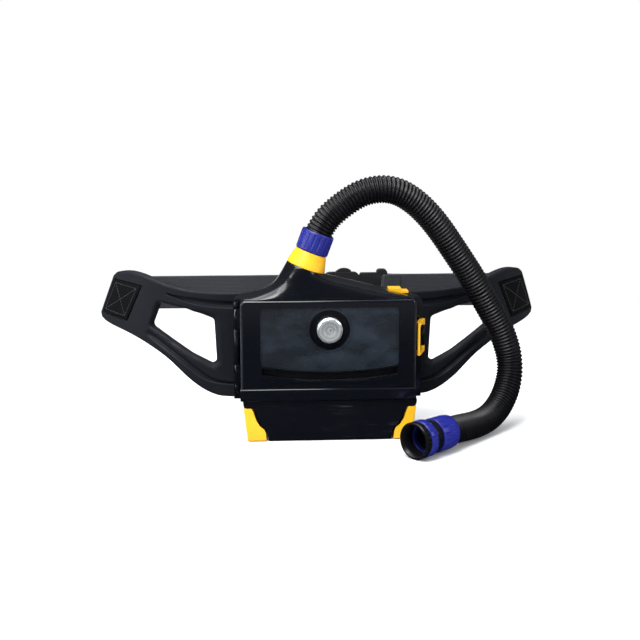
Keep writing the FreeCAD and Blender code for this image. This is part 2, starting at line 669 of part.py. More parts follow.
def lower_coupling():
    turn = mouth_turn()
    cuff = turned([(21.6, 0), ("rim_radius - 1", 0), ("rim_radius", 1.2), ("rim_radius", 8),
                   ("rim_radius - 1", 9.4), (20.6, 9.4), (20.6, 23.2), (21.6, 23.2), (21.6, 36),
                   (19.9, 36), (19.9, 51), ("hose_bore - 0.1", 51), ("hose_bore - 0.1", 61),
                   (14.6, 61), (14.6, 48), (17.2, 34), (17.2, 27.9), (19, 27.9), (19, 17.6),
                   (18.5, 17), (18.5, 5)], MOUTH, turn)
    keep("lower_cuff", fluted(cuff, MOUTH, turn, size("rim_radius") + 1.5, 2.4, 1.6, 7.8, 24))
    lock_ring = turned([(20.7, 9.8), ("lock_ring_radius - 0.9", 9.8), ("lock_ring_radius", 11),
                        ("lock_ring_radius", 21.6), ("lock_ring_radius - 0.9", 22.8), (20.7, 22.8)],
                       MOUTH, turn)
    keep("lower_lock_ring", fluted(lock_ring, MOUTH, turn, size("lock_ring_radius") + 1.7, 2.4, 11.5, 21, 16))
    sleeve = turned([(20, 36.1), (22.6, 36.1), (23.2, 37.5), (23.2, 60), (22.2, 67.6), (19.5, 67.6),
                     (19.5, 52.5), (20, 52.5)], MOUTH, turn)
    keep("lower_sleeve", fluted(sleeve, MOUTH, turn, 24.6, 1.9, 39, 58, 16))
    keep("mouth_ring", ring("18.8", "16.6", "18.4", "27.6", MOUTH, turn))


def hose_route():
    """The corners of the hose's way: straight out of the spout, over an arch and down to the floor."""
    tilt = math.radians(size("spout_tilt"))
    root = Vector(size("spout_across"), size("spout_depth"), size("spout_height"))
    out = Vector(math.sin(tilt), 0, math.cos(tilt))
    heading = math.radians(size("mouth_turn"))
    mouth = Vector(size("mouth_across"), size("mouth_depth"), size("mouth_height"))
    back = Vector(math.cos(heading), math.sin(heading), 0)
    between = [(23, -70, 322), (54, -70, 340), (90, -67, 342), (121, -61, 325), (151, -54, 295),
               (181, -45, 253), (208, -38, 214), (232, -32, 174), (256, -28, 133), (269, -28, 90),
               (262, -43, 53), (240, -67, 27), (211, -97, 19.6)]
    return [root + out * 38, root + out * 64, *[Vector(*corner) for corner in between],
            mouth + back * 78, mouth + back * 51.2]


def rounded_path(route):
    """Straight runs joined by arcs, each as large as its two runs allow."""
    edges = []
    start = route[0]
    for before, corner, after in zip(route, route[1:], route[2:]):
        inward = (corner - before).normalize()
        outward = (after - corner).normalize()
        half_turn = inward.getAngle(outward) / 2
        shorter = min((corner - before).Length, (after - corner).Length)
        setback = 0.45 * shorter
        radius = setback / math.tan(half_turn)
        first = corner - inward * setback
        last = corner + outward * setback
        towards_centre = (outward - inward).normalize()
        middle = corner + towards_centre * (radius / math.cos(half_turn) - radius)
        edges.append(Part.LineSegment(start, first).toShape())
        edges.append(Part.Arc(first, middle, last).toShape())
        print(f"hose arc radius {radius:.0f} mm, turn {math.degrees(2 * half_turn):.0f} degrees")
        start = last
    edges.append(Part.LineSegment(start, route[-1]).toShape())
    return Part.Wire(edges)


def hose():
    route = hose_route()
    path = rounded_path(route)
    direction = route[1] - route[0]
    rings = [Part.Wire([Part.Circle(route[0], direction, radius).toShape()])
             for radius in (size("hose_radius"), size("hose_bore"))]
    outer, inner = [path.makePipeShell([ring_wire], True, False) for ring_wire in rings]
    tube = outer.cut(inner)
    section = math.pi * (size("hose_radius") ** 2 - size("hose_bore") ** 2)
    print(f"hose length {path.Length:.1f} mm, volume / (section x length) {tube.Volume / section / path.Length:.4f}")
    keep("hose", made(tube))


# ---------------------------------------------------------------- belt

def wing_band(skin_from, skin_to):
    """A slab that is flat behind the unit and then bends back round the hip, in plan, from the outer skin in."""
    bend = size("wing_bend")
    start = size("wing_straight")
    front = size("wing_front")
    centre = Vector(start, front + bend, 0)
    sweep = math.radians(57.3)

    def on_skin(depth, angle):
        reach = bend - depth
        return centre + Vector(reach * math.sin(angle), -reach * math.cos(angle), 0)
    root_x = size("wing_root")
    outer = [Vector(root_x, front + skin_from, 0), on_skin(skin_from, 0)]
    inner = [Vector(root_x, front + skin_to, 0), on_skin(skin_to, 0)]
    edges = [
        Part.LineSegment(outer[0], outer[1]).toShape(),
        Part.Arc(outer[1], on_skin(skin_from, sweep / 2), on_skin(skin_from, sweep)).toShape(),
        Part.LineSegment(on_skin(skin_from, sweep), on_skin(skin_to, sweep)).toShape(),
        Part.Arc(on_skin(skin_to, sweep), on_skin(skin_to, sweep / 2), inner[1]).toShape(),
        Part.LineSegment(inner[1], inner[0]).toShape(),
        Part.LineSegment(inner[0], outer[0]).toShape(),
    ]
    return Part.Face(Part.Wire(edges)).extrude(Vector(0, 0, 260))


def frontal(edges_or_points):
    """A block through the whole depth of the belt with this frontal outline of X, Z points."""
    points = [Vector(x, -40, z) for x, z in edges_or_points]
    return Part.Face(Part.makePolygon(points + points[:1])).extrude(Vector(0, 180, 0))


def softened_corners(solid, radius):
    return solid.makeFillet(radius, [edge for edge in solid.Edges if along("Y")(edge)])


def wing_outline():
    """The wing's frontal outline: two flowing edges joined at the root and round the end."""
    def flowing(points):
        curve = Part.BSplineCurve()
        curve.interpolate([Vector(x, -40, z) for x, z in points])
        return curve.toShape()
    low = [(size("wing_root"), 40), (129, 40), (160, 44.5), (190, 62), (225, 92.5), (257, 112), (286, 124),
           (312, 131), (324, 135)]
    high = [(306, 206), (298, 212.5), (282, 215), (265, 213), (244, 207), (221, 200), (198, 195.5), (174, 193),
            (130, 192), (size("wing_root"), 192)]
    end_low = Vector(324, -40, 135)
    end_high = Vector(306, -40, 206)
    edges = [flowing(low), Part.Arc(end_low, Vector(331, -40, 139), Vector(330, -40, 146)).toShape(),
             Part.LineSegment(Vector(330, -40, 146), end_high).toShape(), flowing(high),
             Part.LineSegment(Vector(size("wing_root"), -40, 192), Vector(size("wing_root"), -40, 40)).toShape()]
    return Part.Face(Part.Wire(edges)).extrude(Vector(0, 180, 0))


WINDOW = [(237, 174), (251, 139), (190, 102), (154, 85.5), (157, 153), (196, 167)]
POCKET = [(312, 203), (259, 197), (285, 139), (340, 148)]


def belt():
    thick = size("wing_thick")
    body = wing_band(0, thick).common(wing_outline())
    body = body.cut(softened_corners(frontal(WINDOW), 6))
    body = body.cut(wing_band(0, 3).common(frontal(POCKET)))
    right = made(body.removeSplitter())
    screw_ways = [rod("2.3", "20", (64, "wing_front - 2", z), "+Y") for z in (92, 158)]
    head_rooms = [rod("5.2", "6", (64, "-3.8", z), "+Y") for z in (92, 158)]
    right = cut(right, *screw_ways, *head_rooms)
    keep("belt_wing_right", right)
    keep("belt_wing_left", mirrored(right))
    inner_pocket = [(304.5, 202), (261.5, 195.3), (286.5, 142), (328.5, 148.5)]
    patch = made(wing_band(0.7, 2.9).common(frontal(inner_pocket)))
    keep("webbing_anchor_right", patch)
    keep("webbing_anchor_left", mirrored(patch))
    plate = rounded(box(("-88", "rear_face + 0.2", "72"), ("88", "wing_front - 0.2", "178")), 8, along("Y"))
    plate_holes = [rod("1.9", "10", (x, "rear_face - 2", z), "+Y") for x in (-64, 64) for z in (92, 158)]
    keep("belt_plate", cut(plate, *plate_holes))
    screws = [turned([(0, 0), (1.8, 0), (1.8, 14.4), (4.8, 14.4), (4.8, 16.8), (0, 16.8)],
                     (x, "rear_face + 0.4", z), TURNS["+Y"]) for x in (-64, 64) for z in (92, 158)]
    keep("belt_screws", group(*screws))
    pad = box(("-104", "0.3", "58"), ("104", "11", "188"))
    keep("lumbar_pad", rounded(rounded(pad, 18, along("Y")), 4, lying_at("Y", 11)))


def webbing_and_buckle():
    low = ("-313.4", "webbing_face", "webbing_low")
    keep("webbing_left", box(low, ("7.8", "webbing_face + webbing_thick", "webbing_high")))
    keep("webbing_right", box(("104.3", "webbing_face", "webbing_low"),
                              ("313.4", "webbing_face + webbing_thick", "webbing_high")))
    shell = box(("8", "buckle_front", "145.5"), ("62", "buckle_rear", "202.5"))
    shell = rounded(rounded(shell, 9, along("Y")), 2.5, lying_at("Y", size("buckle_rear")))
    cavity = box(("20.5", "buckle_front + 2.6", "140"), ("63", "buckle_rear - 2.6", "208"))
    ladder = box(("12", "buckle_front - 1", "148.5"), ("17", "buckle_rear + 1", "199.5"))
    keep("buckle_socket", cut(shell, cavity, ladder))
    bar = rounded(box(("88", "buckle_front", "141.5"), ("104", "buckle_rear", "206.5")), 5, along("Y"))
    neck = rounded(box(("62.4", "buckle_front + 1", "147"), ("90", "buckle_rear - 1", "201")), 3, along("Y"))
    web_way = box(("94.5", "buckle_front - 1", "148.5"), ("98.5", "buckle_rear + 1", "199.5"))
    guide = box(("30", "buckle_front + 4", "170"), ("64", "buckle_rear - 4", "178"))
    prongs = [prong(157, 138, 158.5, 150), prong(191, 189.5, 210, 189.5)]
    keep("buckle_plug", fuse(cut(bar, web_way), neck, guide, *prongs))


def prong(middle, low, high, rail_low):
    """One side arm of the plug, whose thumb pad bulges out through the open side of the socket."""
    front = "buckle_front + 3.6"
    rear = "buckle_rear - 3.6"
    rail = box(("36", front, rail_low), ("64", rear, rail_low + 8.5))
    pad = common(rod("17.5", f"({rear}) - ({front})", ("38.5", front, middle), "+Y"),
                 box(("22", front, low), ("49", rear, high)))
    return fuse(rail, pad)


# ---------------------------------------------------------------- building and writing

front_housing()
rear_housing()
housing_screws()
filter_cover()
cover_fittings()
cover_latch()
filters()
blower()
electronics()
battery()
outlet()
lower_coupling()
hose()
belt()
webbing_and_buckle()
doc.recompute()

for thing in doc.Objects:
    if "Invalid" in thing.State or "Error" in thing.State:
        raise RuntimeError(f"{thing.Name} ({thing.Label}) failed: {thing.State}")
for node in nodes:
    if node.Shape.isNull() or not node.Shape.isValid():
        raise RuntimeError(f"{node.Label} has no valid shape")

os.makedirs("parts", exist_ok=True)
for node in nodes:
    node.Shape.exportStep(f"parts/{node.Label}.step")
    print(f"{node.Label}: {len(node.Shape.Solids)} solids, {node.Shape.Volume / 1000:.1f} cm3")
print(len(nodes), "nodes")
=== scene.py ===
"""The looks of a powered air respirator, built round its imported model.

Metres, +Z up. The filter cover faces -Y, and the floor under the battery is Z = 0.
"""
import math

import bmesh
import bpy
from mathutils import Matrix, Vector


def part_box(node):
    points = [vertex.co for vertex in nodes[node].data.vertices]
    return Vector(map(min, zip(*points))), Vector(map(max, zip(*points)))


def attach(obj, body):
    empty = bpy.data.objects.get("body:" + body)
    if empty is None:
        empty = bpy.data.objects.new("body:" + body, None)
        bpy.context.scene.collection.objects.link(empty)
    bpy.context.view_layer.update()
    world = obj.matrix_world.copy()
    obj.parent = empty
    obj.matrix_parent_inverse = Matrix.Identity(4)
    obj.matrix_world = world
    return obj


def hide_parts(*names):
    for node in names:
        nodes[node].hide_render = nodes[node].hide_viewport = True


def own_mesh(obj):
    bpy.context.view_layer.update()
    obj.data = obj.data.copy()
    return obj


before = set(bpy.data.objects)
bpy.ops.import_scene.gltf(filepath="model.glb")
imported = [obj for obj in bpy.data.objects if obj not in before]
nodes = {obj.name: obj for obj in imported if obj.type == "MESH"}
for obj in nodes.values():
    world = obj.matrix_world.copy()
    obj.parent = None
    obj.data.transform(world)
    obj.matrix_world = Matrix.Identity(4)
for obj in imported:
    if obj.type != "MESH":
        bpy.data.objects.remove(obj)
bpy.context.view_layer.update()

MM = 0.001


# ---- meshes

def mesh_piece(name, points, faces, material):
    """A new smooth-shaded mesh object from points in metres and faces of point numbers."""
    mesh = bpy.data.meshes.new(name)
    mesh.from_pydata([tuple(point) for point in points], [], faces)
    mesh.polygons.foreach_set("use_smooth", [True] * len(mesh.polygons))
    mesh.materials.append(material)
    piece = bpy.data.objects.new(name, mesh)
    bpy.context.scene.collection.objects.link(piece)
    turn_outward(piece)
    return piece


def turn_outward(piece):
    """Make every face of a closed mesh face outward."""
    shape = bmesh.new()
    shape.from_mesh(piece.data)
    bmesh.ops.recalc_face_normals(shape, faces=shape.faces)
    shape.to_mesh(piece.data)
    shape.free()


def looped_faces(loops, size, first=0, closed=True):
    """Quads between rows of this many points each. If closed, the last row joins the first."""
    faces = []
    for row in range(loops if closed else loops - 1):
        here = first + row * size
        there = first + (row + 1) % loops * size
        for step in range(size):
            after = (step + 1) % size
            faces.append((here + step, here + after, there + after, there + step))
    return faces


def capped_faces(loops, size, first=0):
    """Quads between rows of points, and one face over each end."""
    faces = looped_faces(loops, size, first, closed=False)
    last = first + (loops - 1) * size
    return faces + [tuple(range(first, first + size)), tuple(range(last + size - 1, last - 1, -1))]


def joined(name, pieces):
    """One object out of several meshes, with all their materials."""
    bpy.ops.object.select_all(action="DESELECT")
    for piece in pieces:
        piece.select_set(True)
    bpy.context.view_layer.objects.active = pieces[0]
    bpy.ops.object.join()
    pieces[0].name = name
    return pieces[0]


def smooth_line(corners, steps):
    """A Catmull-Rom curve through every corner."""
    line = []
    last = len(corners) - 1
    for index in range(last):
        before = corners[max(index - 1, 0)]
        here = corners[index]
        there = corners[index + 1]
        after = corners[min(index + 2, last)]
        for step in range(steps):
            share = step / steps
            line.append(0.5 * (2 * here + (there - before) * share
                               + (2 * before - 5 * here + 4 * there - after) * share ** 2
                               + (3 * here - before - 3 * there + after) * share ** 3))
    line.append(corners[-1])
    return line


def round_corners(corners, radius, steps=5):
    """A closed outline with each corner replaced by an arc."""
    outline = []
    count = len(corners)
    for index, corner in enumerate(corners):
        before = (corners[index - 1] - corner).normalized()
        after = (corners[(index + 1) % count] - corner).normalized()
        half = before.angle(after) / 2
        setback = radius / math.tan(half)
        centre = corner + (before + after).normalized() * (radius / math.sin(half))
        first = corner + before * setback - centre
        last = corner + after * setback - centre
        for step in range(steps + 1):
            share = step / steps
            outline.append(centre + (first * (1 - share) + last * share).normalized() * radius)
    return outline


def smooth_step(value, low, high):
    """0 below low and 1 above high, with an even turn between."""
    share = min(max((value - low) / (high - low), 0), 1)
    return share * share * (3 - 2 * share)


def distance_to_line(point, line):
    """How far a point is from a line of corners, and how far along it the nearest place is, 0 to 1."""
    best = (1e9, 0)
    for index in range(len(line) - 1):
        start = line[index]
        run = line[index + 1] - start
        share = min(max((point - start).dot(run) / run.length_squared, 0), 1)
        gap = (point - start - run * share).length
        if gap < best[0]:
            best = (gap, (index + share) / (len(line) - 1))
    return best


def axes_along(direction):
    """Two directions square to this one and to each other."""
    side = direction.orthogonal().normalized()
    return side, direction.cross(side).normalized()


# ---- materials

class Wiring:
    """A material with one Principled shader, and the nodes that feed it."""

    def __init__(self, name, colour, rough, **sockets):
        self.material = bpy.data.materials.new(name)
        self.material.use_nodes = True
        self.tree = self.material.node_tree
        self.shader = self.tree.nodes["Principled BSDF"]
        self.shader.inputs["Base Color"].default_value = (*colour, 1)
        self.shader.inputs["Roughness"].default_value = rough
        for socket, value in sockets.items():
            self.shader.inputs[socket.replace("_", " ")].default_value = value
        self.place = self.add("ShaderNodeTexCoord").outputs["Object"]

    def add(self, kind, **settings):
        """A new node with these settings."""
        node = self.tree.nodes.new(kind)
        for key, value in settings.items():
            setattr(node, key, value)
        return node

    def link(self, source, target):
        self.tree.links.new(source, target)

    def mapped(self, stretch=(1, 1, 1), turn=(0, 0, 0), shift=(0, 0, 0)):
        """The piece's own coordinates, turned and stretched."""
        mapping = self.add("ShaderNodeMapping")
        self.link(self.place, mapping.inputs["Vector"])
        mapping.inputs["Location"].default_value = shift
        mapping.inputs["Rotation"].default_value = turn
        mapping.inputs["Scale"].default_value = stretch
        return mapping.outputs["Vector"]

    def noise(self, scale, detail=2, place=None):
        node = self.add("ShaderNodeTexNoise")
        self.link(place or self.place, node.inputs["Vector"])
        node.inputs["Scale"].default_value = scale
        node.inputs["Detail"].default_value = detail
        return node.outputs["Fac"]

    def cells(self, scale, feature="F1", place=None):
        node = self.add("ShaderNodeTexVoronoi", feature=feature)
        self.link(place or self.place, node.inputs["Vector"])
        node.inputs["Scale"].default_value = scale
        return node.outputs["Distance"]

    def bands(self, pitch, direction, place=None, kind="BANDS"):
        """Sine ridges this far apart."""
        node = self.add("ShaderNodeTexWave", wave_type=kind, wave_profile="SIN")
        setattr(node, kind.lower() + "_direction", direction)
        self.link(place or self.place, node.inputs["Vector"])
        node.inputs["Scale"].default_value = 2 * math.pi / (20 * pitch)
        return node.outputs["Fac"]

    def sums(self, operation, first, second):
        node = self.add("ShaderNodeMath", operation=operation)
        for socket, value in zip(node.inputs, (first, second)):
            if isinstance(value, (int, float)):
                socket.default_value = value
            else:
                self.link(value, socket)
        return node.outputs["Value"]

    def spread(self, value, low, high, to_low, to_high):
        """The value from low..high carried over to to_low..to_high."""
        node = self.add("ShaderNodeMapRange")
        self.link(value, node.inputs["Value"])
        numbers = {"From Min": low, "From Max": high, "To Min": to_low, "To Max": to_high}
        for socket, number in numbers.items():
            node.inputs[socket].default_value = number
        return node.outputs["Result"]

    def tint(self, value, first, second):
        """The base colour goes from first to second as the value goes from 0 to 1."""
        node = self.add("ShaderNodeMix", data_type="RGBA")
        self.link(value, node.inputs["Factor"])
        colours = [socket for socket in node.inputs if socket.type == "RGBA"]
        colours[0].default_value = (*first, 1)
        colours[1].default_value = (*second, 1)
        self.link([out for out in node.outputs if out.type == "RGBA"][0], self.shader.inputs["Base Color"])

    def rough(self, value):
        self.link(value, self.shader.inputs["Roughness"])

    def bump(self, height, strength, depth):
        """Relief of this depth in metres; a second call adds finer relief to the first."""
        node = self.add("ShaderNodeBump")
        node.inputs["Strength"].default_value = strength
        node.inputs["Distance"].default_value = depth
        self.link(height, node.inputs["Height"])
        normal = self.shader.inputs["Normal"]
        if normal.is_linked:
            self.link(normal.links[0].from_socket, node.inputs["Normal"])
        self.link(node.outputs["Normal"], normal)


def shade(colour, factor):
    """The colour, lighter or darker by this factor."""
    return tuple(min(part * factor, 1) for part in colour)


def moulded_plastic(name, colour, rough, scuffs=0.0, **sockets):
    """Moulded plastic: faint orange peel, uneven polish, and hairline scuffs that catch light."""
    made = Wiring(name, colour, rough, **sockets)
    polish = made.noise(14, 3)
    made.rough(made.spread(polish, 0.3, 0.7, rough * 0.8, rough * 1.25))
    made.bump(made.noise(900, 1), 0.25, 0.00004)
    fine = made.noise(1, 4, made.mapped((22, 60, 1400), (0.2, 0.5, 0.1)))
    patches = made.noise(24, 2)
    lines = made.spread(fine, 0.62, 0.75, 0, 1)
    marks = made.sums("MULTIPLY", lines, made.spread(patches, 0.5, 0.65, 0, 1))
    made.tint(made.sums("MULTIPLY", marks, scuffs), colour, (0.16, 0.17, 0.2))
    made.bump(marks, 0.2, 0.00003)
    return made.material


def panelled_plastic(name, colour, panel_reflection_tint, rough, panel_rough, panel_low, panel_high):
    """Gloss plastic with a satin panel, which is the face that lies between these two depths. The panel's
    lighter, bluish base colour is a painted reflection, broken up by smudges that also stand for real
    rubbing marks.
    """
    made = Wiring(name, colour, rough, Specular_IOR_Level=0.45)
    parts = made.add("ShaderNodeSeparateXYZ")
    made.link(made.place, parts.inputs[0])
    depth = parts.outputs["Y"]
    soft_edge = 0.0004
    behind = made.spread(depth, panel_low, panel_low + soft_edge, 0, 1)
    before = made.spread(depth, panel_high, panel_high + soft_edge, 1, 0)
    panel = made.sums("MULTIPLY", behind, before)
    smudge_and_reflection_noise = made.noise(1, 4, made.mapped((16, 16, 34), (0, 0.6, 0)))
    smudges_and_painted_reflection = made.spread(smudge_and_reflection_noise, 0.42, 0.62, 0.35, 1)
    # Painted reflection: the panel face is tinted lighter and bluish, in stretched smudges, partly real
    # rubbing marks and partly painted reflection.
    made.tint(made.sums("MULTIPLY", panel, smudges_and_painted_reflection), colour, panel_reflection_tint)
    satin = made.spread(made.noise(30, 3), 0.3, 0.7, panel_rough * 0.7, panel_rough * 1.3)
    made.rough(made.sums("ADD", rough, made.sums("MULTIPLY", panel, satin)))
    made.bump(made.noise(900, 1), 0.25, 0.00004)
    made.bump(made.noise(1, 4, made.mapped((22, 60, 1400), (0.2, 0.5, 0.1))), 0.12, 0.00003)
    return made.material


def coloured_plastic(name, colour, rough):
    """Coloured moulded plastic with a slight mottle and fine grain."""
    made = Wiring(name, colour, rough, Coat_Weight=0.06, Coat_Roughness=0.12, Specular_IOR_Level=0.38)
    made.tint(made.noise(35, 3), shade(colour, 0.86), shade(colour, 1.1))
    made.rough(made.spread(made.noise(60, 3), 0.3, 0.7, rough * 0.8, rough * 1.3))
    made.bump(made.noise(1500, 2), 0.2, 0.00005)
    return made.material


def foam_skin(name, colour):
    """The satin skin of moulded closed-cell foam."""
    made = Wiring(name, colour, 0.5, Sheen_Weight=0.03, Sheen_Roughness=0.4, Specular_IOR_Level=0.15)
    made.tint(made.noise(18, 4), shade(colour, 0.8), shade(colour, 1.2))
    made.rough(made.spread(made.noise(40, 2), 0.3, 0.7, 0.42, 0.6))
    made.bump(made.cells(1100), 0.3, 0.00012)
    made.bump(made.noise(260, 3), 0.2, 0.0002)
    return made.material


def woven_webbing(name, colour, turn=0.0, sheen=0.5, specular=0.5):
    """Ribbed polyester webbing: yarns across and along in a close weave, turned about Y."""
    made = Wiring(name, colour, 0.62, Sheen_Weight=sheen, Sheen_Roughness=0.35, Specular_IOR_Level=specular)
    place = made.mapped(turn=(0, turn, 0))
    along = made.bands(0.0014, "X", place)
    across = made.bands(0.0021, "Z", place)
    weave = made.sums("MULTIPLY", along, across)
    made.bump(weave, 0.7, 0.00025)
    made.bump(made.noise(2600, 2, place), 0.3, 0.00008)
    # Painted shade and highlight: the weave's hollows are darkened and its crests lightened, following the
    # relief.
    made.tint(made.spread(weave, 0, 1, 0, 1), shade(colour, 0.55), shade(colour, 1.35))
    return made.material


def mesh_fabric(name, colour):
    """Knitted spacer fabric: rows of small round holes."""
    made = Wiring(name, colour, 0.8, Sheen_Weight=0.6, Sheen_Roughness=0.5)
    place = made.mapped(turn=(0, math.radians(45), 0))
    holes = made.sums("MULTIPLY", made.bands(0.0032, "X", place), made.bands(0.0032, "Z", place))
    # Painted shade: the recessed holes are darkened to near black, and the knit between them is lighter.
    made.tint(made.spread(holes, 0.1, 0.6, 0, 1), shade(colour, 1.4), shade(colour, 0.2))
    made.bump(holes, -0.8, 0.0006)
    made.bump(made.noise(3000, 2), 0.3, 0.0001)
    return made.material


def ribbed_rubber(name, colour):
    """Glossy elastomer with a trace of dust."""
    made = Wiring(name, colour, 0.36, Specular_IOR_Level=0.25)
    dust = made.noise(30, 4)
    made.rough(made.spread(dust, 0.35, 0.7, 0.3, 0.42))
    made.tint(made.spread(dust, 0.5, 0.8, 0, 1), colour, shade(colour, 1.8))
    made.bump(made.noise(700, 2), 0.1, 0.00003)
    return made.material


def turned_aluminium(name, axis):
    """Face-turned metal: fine rings round an axis that runs along Y."""
    made = Wiring(name, (0.80, 0.83, 0.85), 0.3, Metallic=0.85, Anisotropic=0.5)
    place = made.mapped(shift=(-axis.x, 0, -axis.z))
    rings = made.bands(0.0007, "Y", place, kind="RINGS")
    wide = made.bands(0.0052, "Y", place, kind="RINGS")
    made.tint(made.spread(wide, 0, 1, 0, 1), (0.62, 0.68, 0.72), (0.92, 0.94, 0.95))
    made.rough(made.spread(rings, 0, 1, 0.22, 0.42))
    made.bump(rings, 0.35, 0.00005)
    return made.material


def bare_metal(name, colour, rough):
    """Drawn or machined metal with fine lines and slight staining."""
    made = Wiring(name, colour, rough, Metallic=1.0)
    lines = made.noise(1, 3, made.mapped((300, 300, 2600)))
    made.rough(made.spread(lines, 0.3, 0.7, rough * 0.7, rough * 1.4))
    made.tint(made.noise(60, 3), shade(colour, 0.8), shade(colour, 1.1))
    made.bump(lines, 0.1, 0.00003)
    return made.material


def felt(name, colour):
    """Pressed fibre."""
    made = Wiring(name, colour, 0.9, Sheen_Weight=0.3)
    fibres = made.noise(1, 5, made.mapped((900, 900, 2600), (0.3, 0.6, 0.2)))
    made.tint(made.spread(fibres, 0.3, 0.7, 0, 1), shade(colour, 0.75), shade(colour, 1.05))
    made.bump(fibres, 0.5, 0.0002)
    return made.material


def circuit_board(name, colour):
    """Solder mask over faint tracks."""
    made = Wiring(name, colour, 0.4)
    tracks = made.cells(260, "DISTANCE_TO_EDGE")
    made.tint(made.spread(tracks, 0.0, 0.12, 0, 1), shade(colour, 1.9), colour)
    made.bump(tracks, 0.3, 0.00005)
    return made.material


def thread(name, colour):
    """Twisted sewing thread."""
    made = Wiring(name, colour, 0.55, Sheen_Weight=0.1)
    twist = made.noise(1, 2, made.mapped((3000, 3000, 3000)))
    made.tint(twist, shade(colour, 0.7), shade(colour, 1.3))
    made.bump(twist, 0.5, 0.0001)
    return made.material


DISC_LOW, DISC_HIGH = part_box("lock_disc")
PANEL_DEPTHS = (-0.1050, -0.1026)
BLACK = (0.0022, 0.0028, 0.0048)
YELLOW = (0.78, 0.41, 0.010)
BLUE = (0.007, 0.011, 0.175)

LOOKS = {
    "housing": moulded_plastic("housing_gloss", BLACK, 0.17, 0.25, Specular_IOR_Level=0.45),
    # The cover's second colour is a painted reflection on the satin panel: lighter and bluish.
    "cover": panelled_plastic("cover_gloss", BLACK, (0.014, 0.020, 0.029), 0.11, 0.16, *PANEL_DEPTHS),
    "battery": moulded_plastic("battery_scuffed", (0.0025, 0.0028, 0.0055), 0.34, 0.35,
                               Specular_IOR_Level=0.1),
    "yellow": coloured_plastic("yellow_plastic", YELLOW, 0.36),
    "blue": coloured_plastic("blue_plastic", BLUE, 0.34),
    # Painted shade: the mouth ring gets a darker copy of the same blue plastic.
    "shaded_blue": coloured_plastic("shaded_copy_blue_plastic", shade(BLUE, 0.35), 0.4),
    "hose": ribbed_rubber("hose_rubber", (0.0028, 0.0028, 0.004)),
    "cuff": moulded_plastic("cuff_satin", (0.0035, 0.0035, 0.0045), 0.24, 0.2, Specular_IOR_Level=0.25),
    "disc": turned_aluminium("turned_aluminium", (DISC_LOW + DISC_HIGH) / 2),
    "steel": bare_metal("plain_steel", (0.56, 0.57, 0.59), 0.32),
    # Painted shade: the spark arrestor, seen through the cover's slot, is near black and stands in for the
    # shade inside the slot.
    "screen": bare_metal("slot_shade_steel", (0.05, 0.05, 0.055), 0.5),
    "brass": bare_metal("plain_brass", (0.78, 0.58, 0.27), 0.3),
    "foam": foam_skin("foam_skin", (0.0050, 0.0060, 0.0095)),
    "webbing": woven_webbing("webbing_weave", (0.032, 0.035, 0.044)),
    "patch": woven_webbing("patch_weave", (0.0026, 0.0028, 0.0040), math.radians(15), 0.02, 0.08),
    "thread": thread("stitch_thread", (0.010, 0.0105, 0.0125)),
    "pad": mesh_fabric("spacer_fabric", (0.022, 0.022, 0.026)),
    "buckle": moulded_plastic("buckle_acetal", (0.012, 0.012, 0.014), 0.42, 0.3),
    "felt": felt("filter_felt", (0.80, 0.80, 0.76)),
    "inner": moulded_plastic("inner_plastic", (0.06, 0.06, 0.066), 0.5, 0.1),
    "rubber": moulded_plastic("seal_rubber", (0.015, 0.015, 0.015), 0.6),
    "board": circuit_board("board_mask", (0.012, 0.10, 0.045)),
    "cells": coloured_plastic("cell_wrap", (0.03, 0.10, 0.33), 0.3),
}


# ---- hose

HOSE_RADIUS = 0.019
HOSE_VALLEY = 0.0169
HOSE_WALL = 0.0009
RIB_PITCH = 0.0051
FIRST_RIB = HOSE_VALLEY + 0.001
PLAIN_END = 0.013
PLAIN_RADIUS = HOSE_RADIUS - 0.0004
PLAIN_BORE = 0.0166
SPOUT_ROOT = Vector((-28.3, -71, 236.2)) * MM
SPOUT_TILT = math.radians(20.5)
SPOUT_OUT = Vector((math.sin(SPOUT_TILT), 0, math.cos(SPOUT_TILT)))
MOUTH = Vector((105, -197, 25.3)) * MM
MOUTH_TURN = math.radians(40)
MOUTH_BACK = Vector((math.cos(MOUTH_TURN), math.sin(MOUTH_TURN), 0))
SPOUT_REACH = (38, 64)
MOUTH_REACH = (78, 51.2)
HOSE_BETWEEN = [
    (23, -70, 322), (54, -70, 340), (90, -67, 342), (121, -61, 325), (151, -54, 295), (181, -45, 253),
    (208, -38, 214), (232, -32, 174), (256, -28, 133), (269, -28, 90), (262, -43, 53), (240, -67, 25.5),
    (211, -97, 17.8),
]
HOSE_ROUTE = [
    *[SPOUT_ROOT + SPOUT_OUT * reach * MM for reach in SPOUT_REACH],
    *[Vector(corner) * MM for corner in HOSE_BETWEEN],
    *[MOUTH + MOUTH_BACK * reach * MM for reach in MOUTH_REACH],
]


def spline_points(route, fineness):
    """Points along the quadratic NURBS curve that has the route as its control points."""
    curve = bpy.data.curves.new("route", "CURVE")
    curve.dimensions = "3D"
    spline = curve.splines.new("NURBS")
    spline.points.add(len(route) - 1)
    for point, corner in zip(spline.points, route):
        point.co = (*corner, 1)
    spline.order_u = 3
    spline.use_endpoint_u = True
    spline.resolution_u = fineness
    carrier = bpy.data.objects.new("route", curve)
    line = bpy.data.meshes.new_from_object(carrier)
    points = [vertex.co.copy() for vertex in line.vertices]
    bpy.data.objects.remove(carrier)
    bpy.data.meshes.remove(line)
    return points


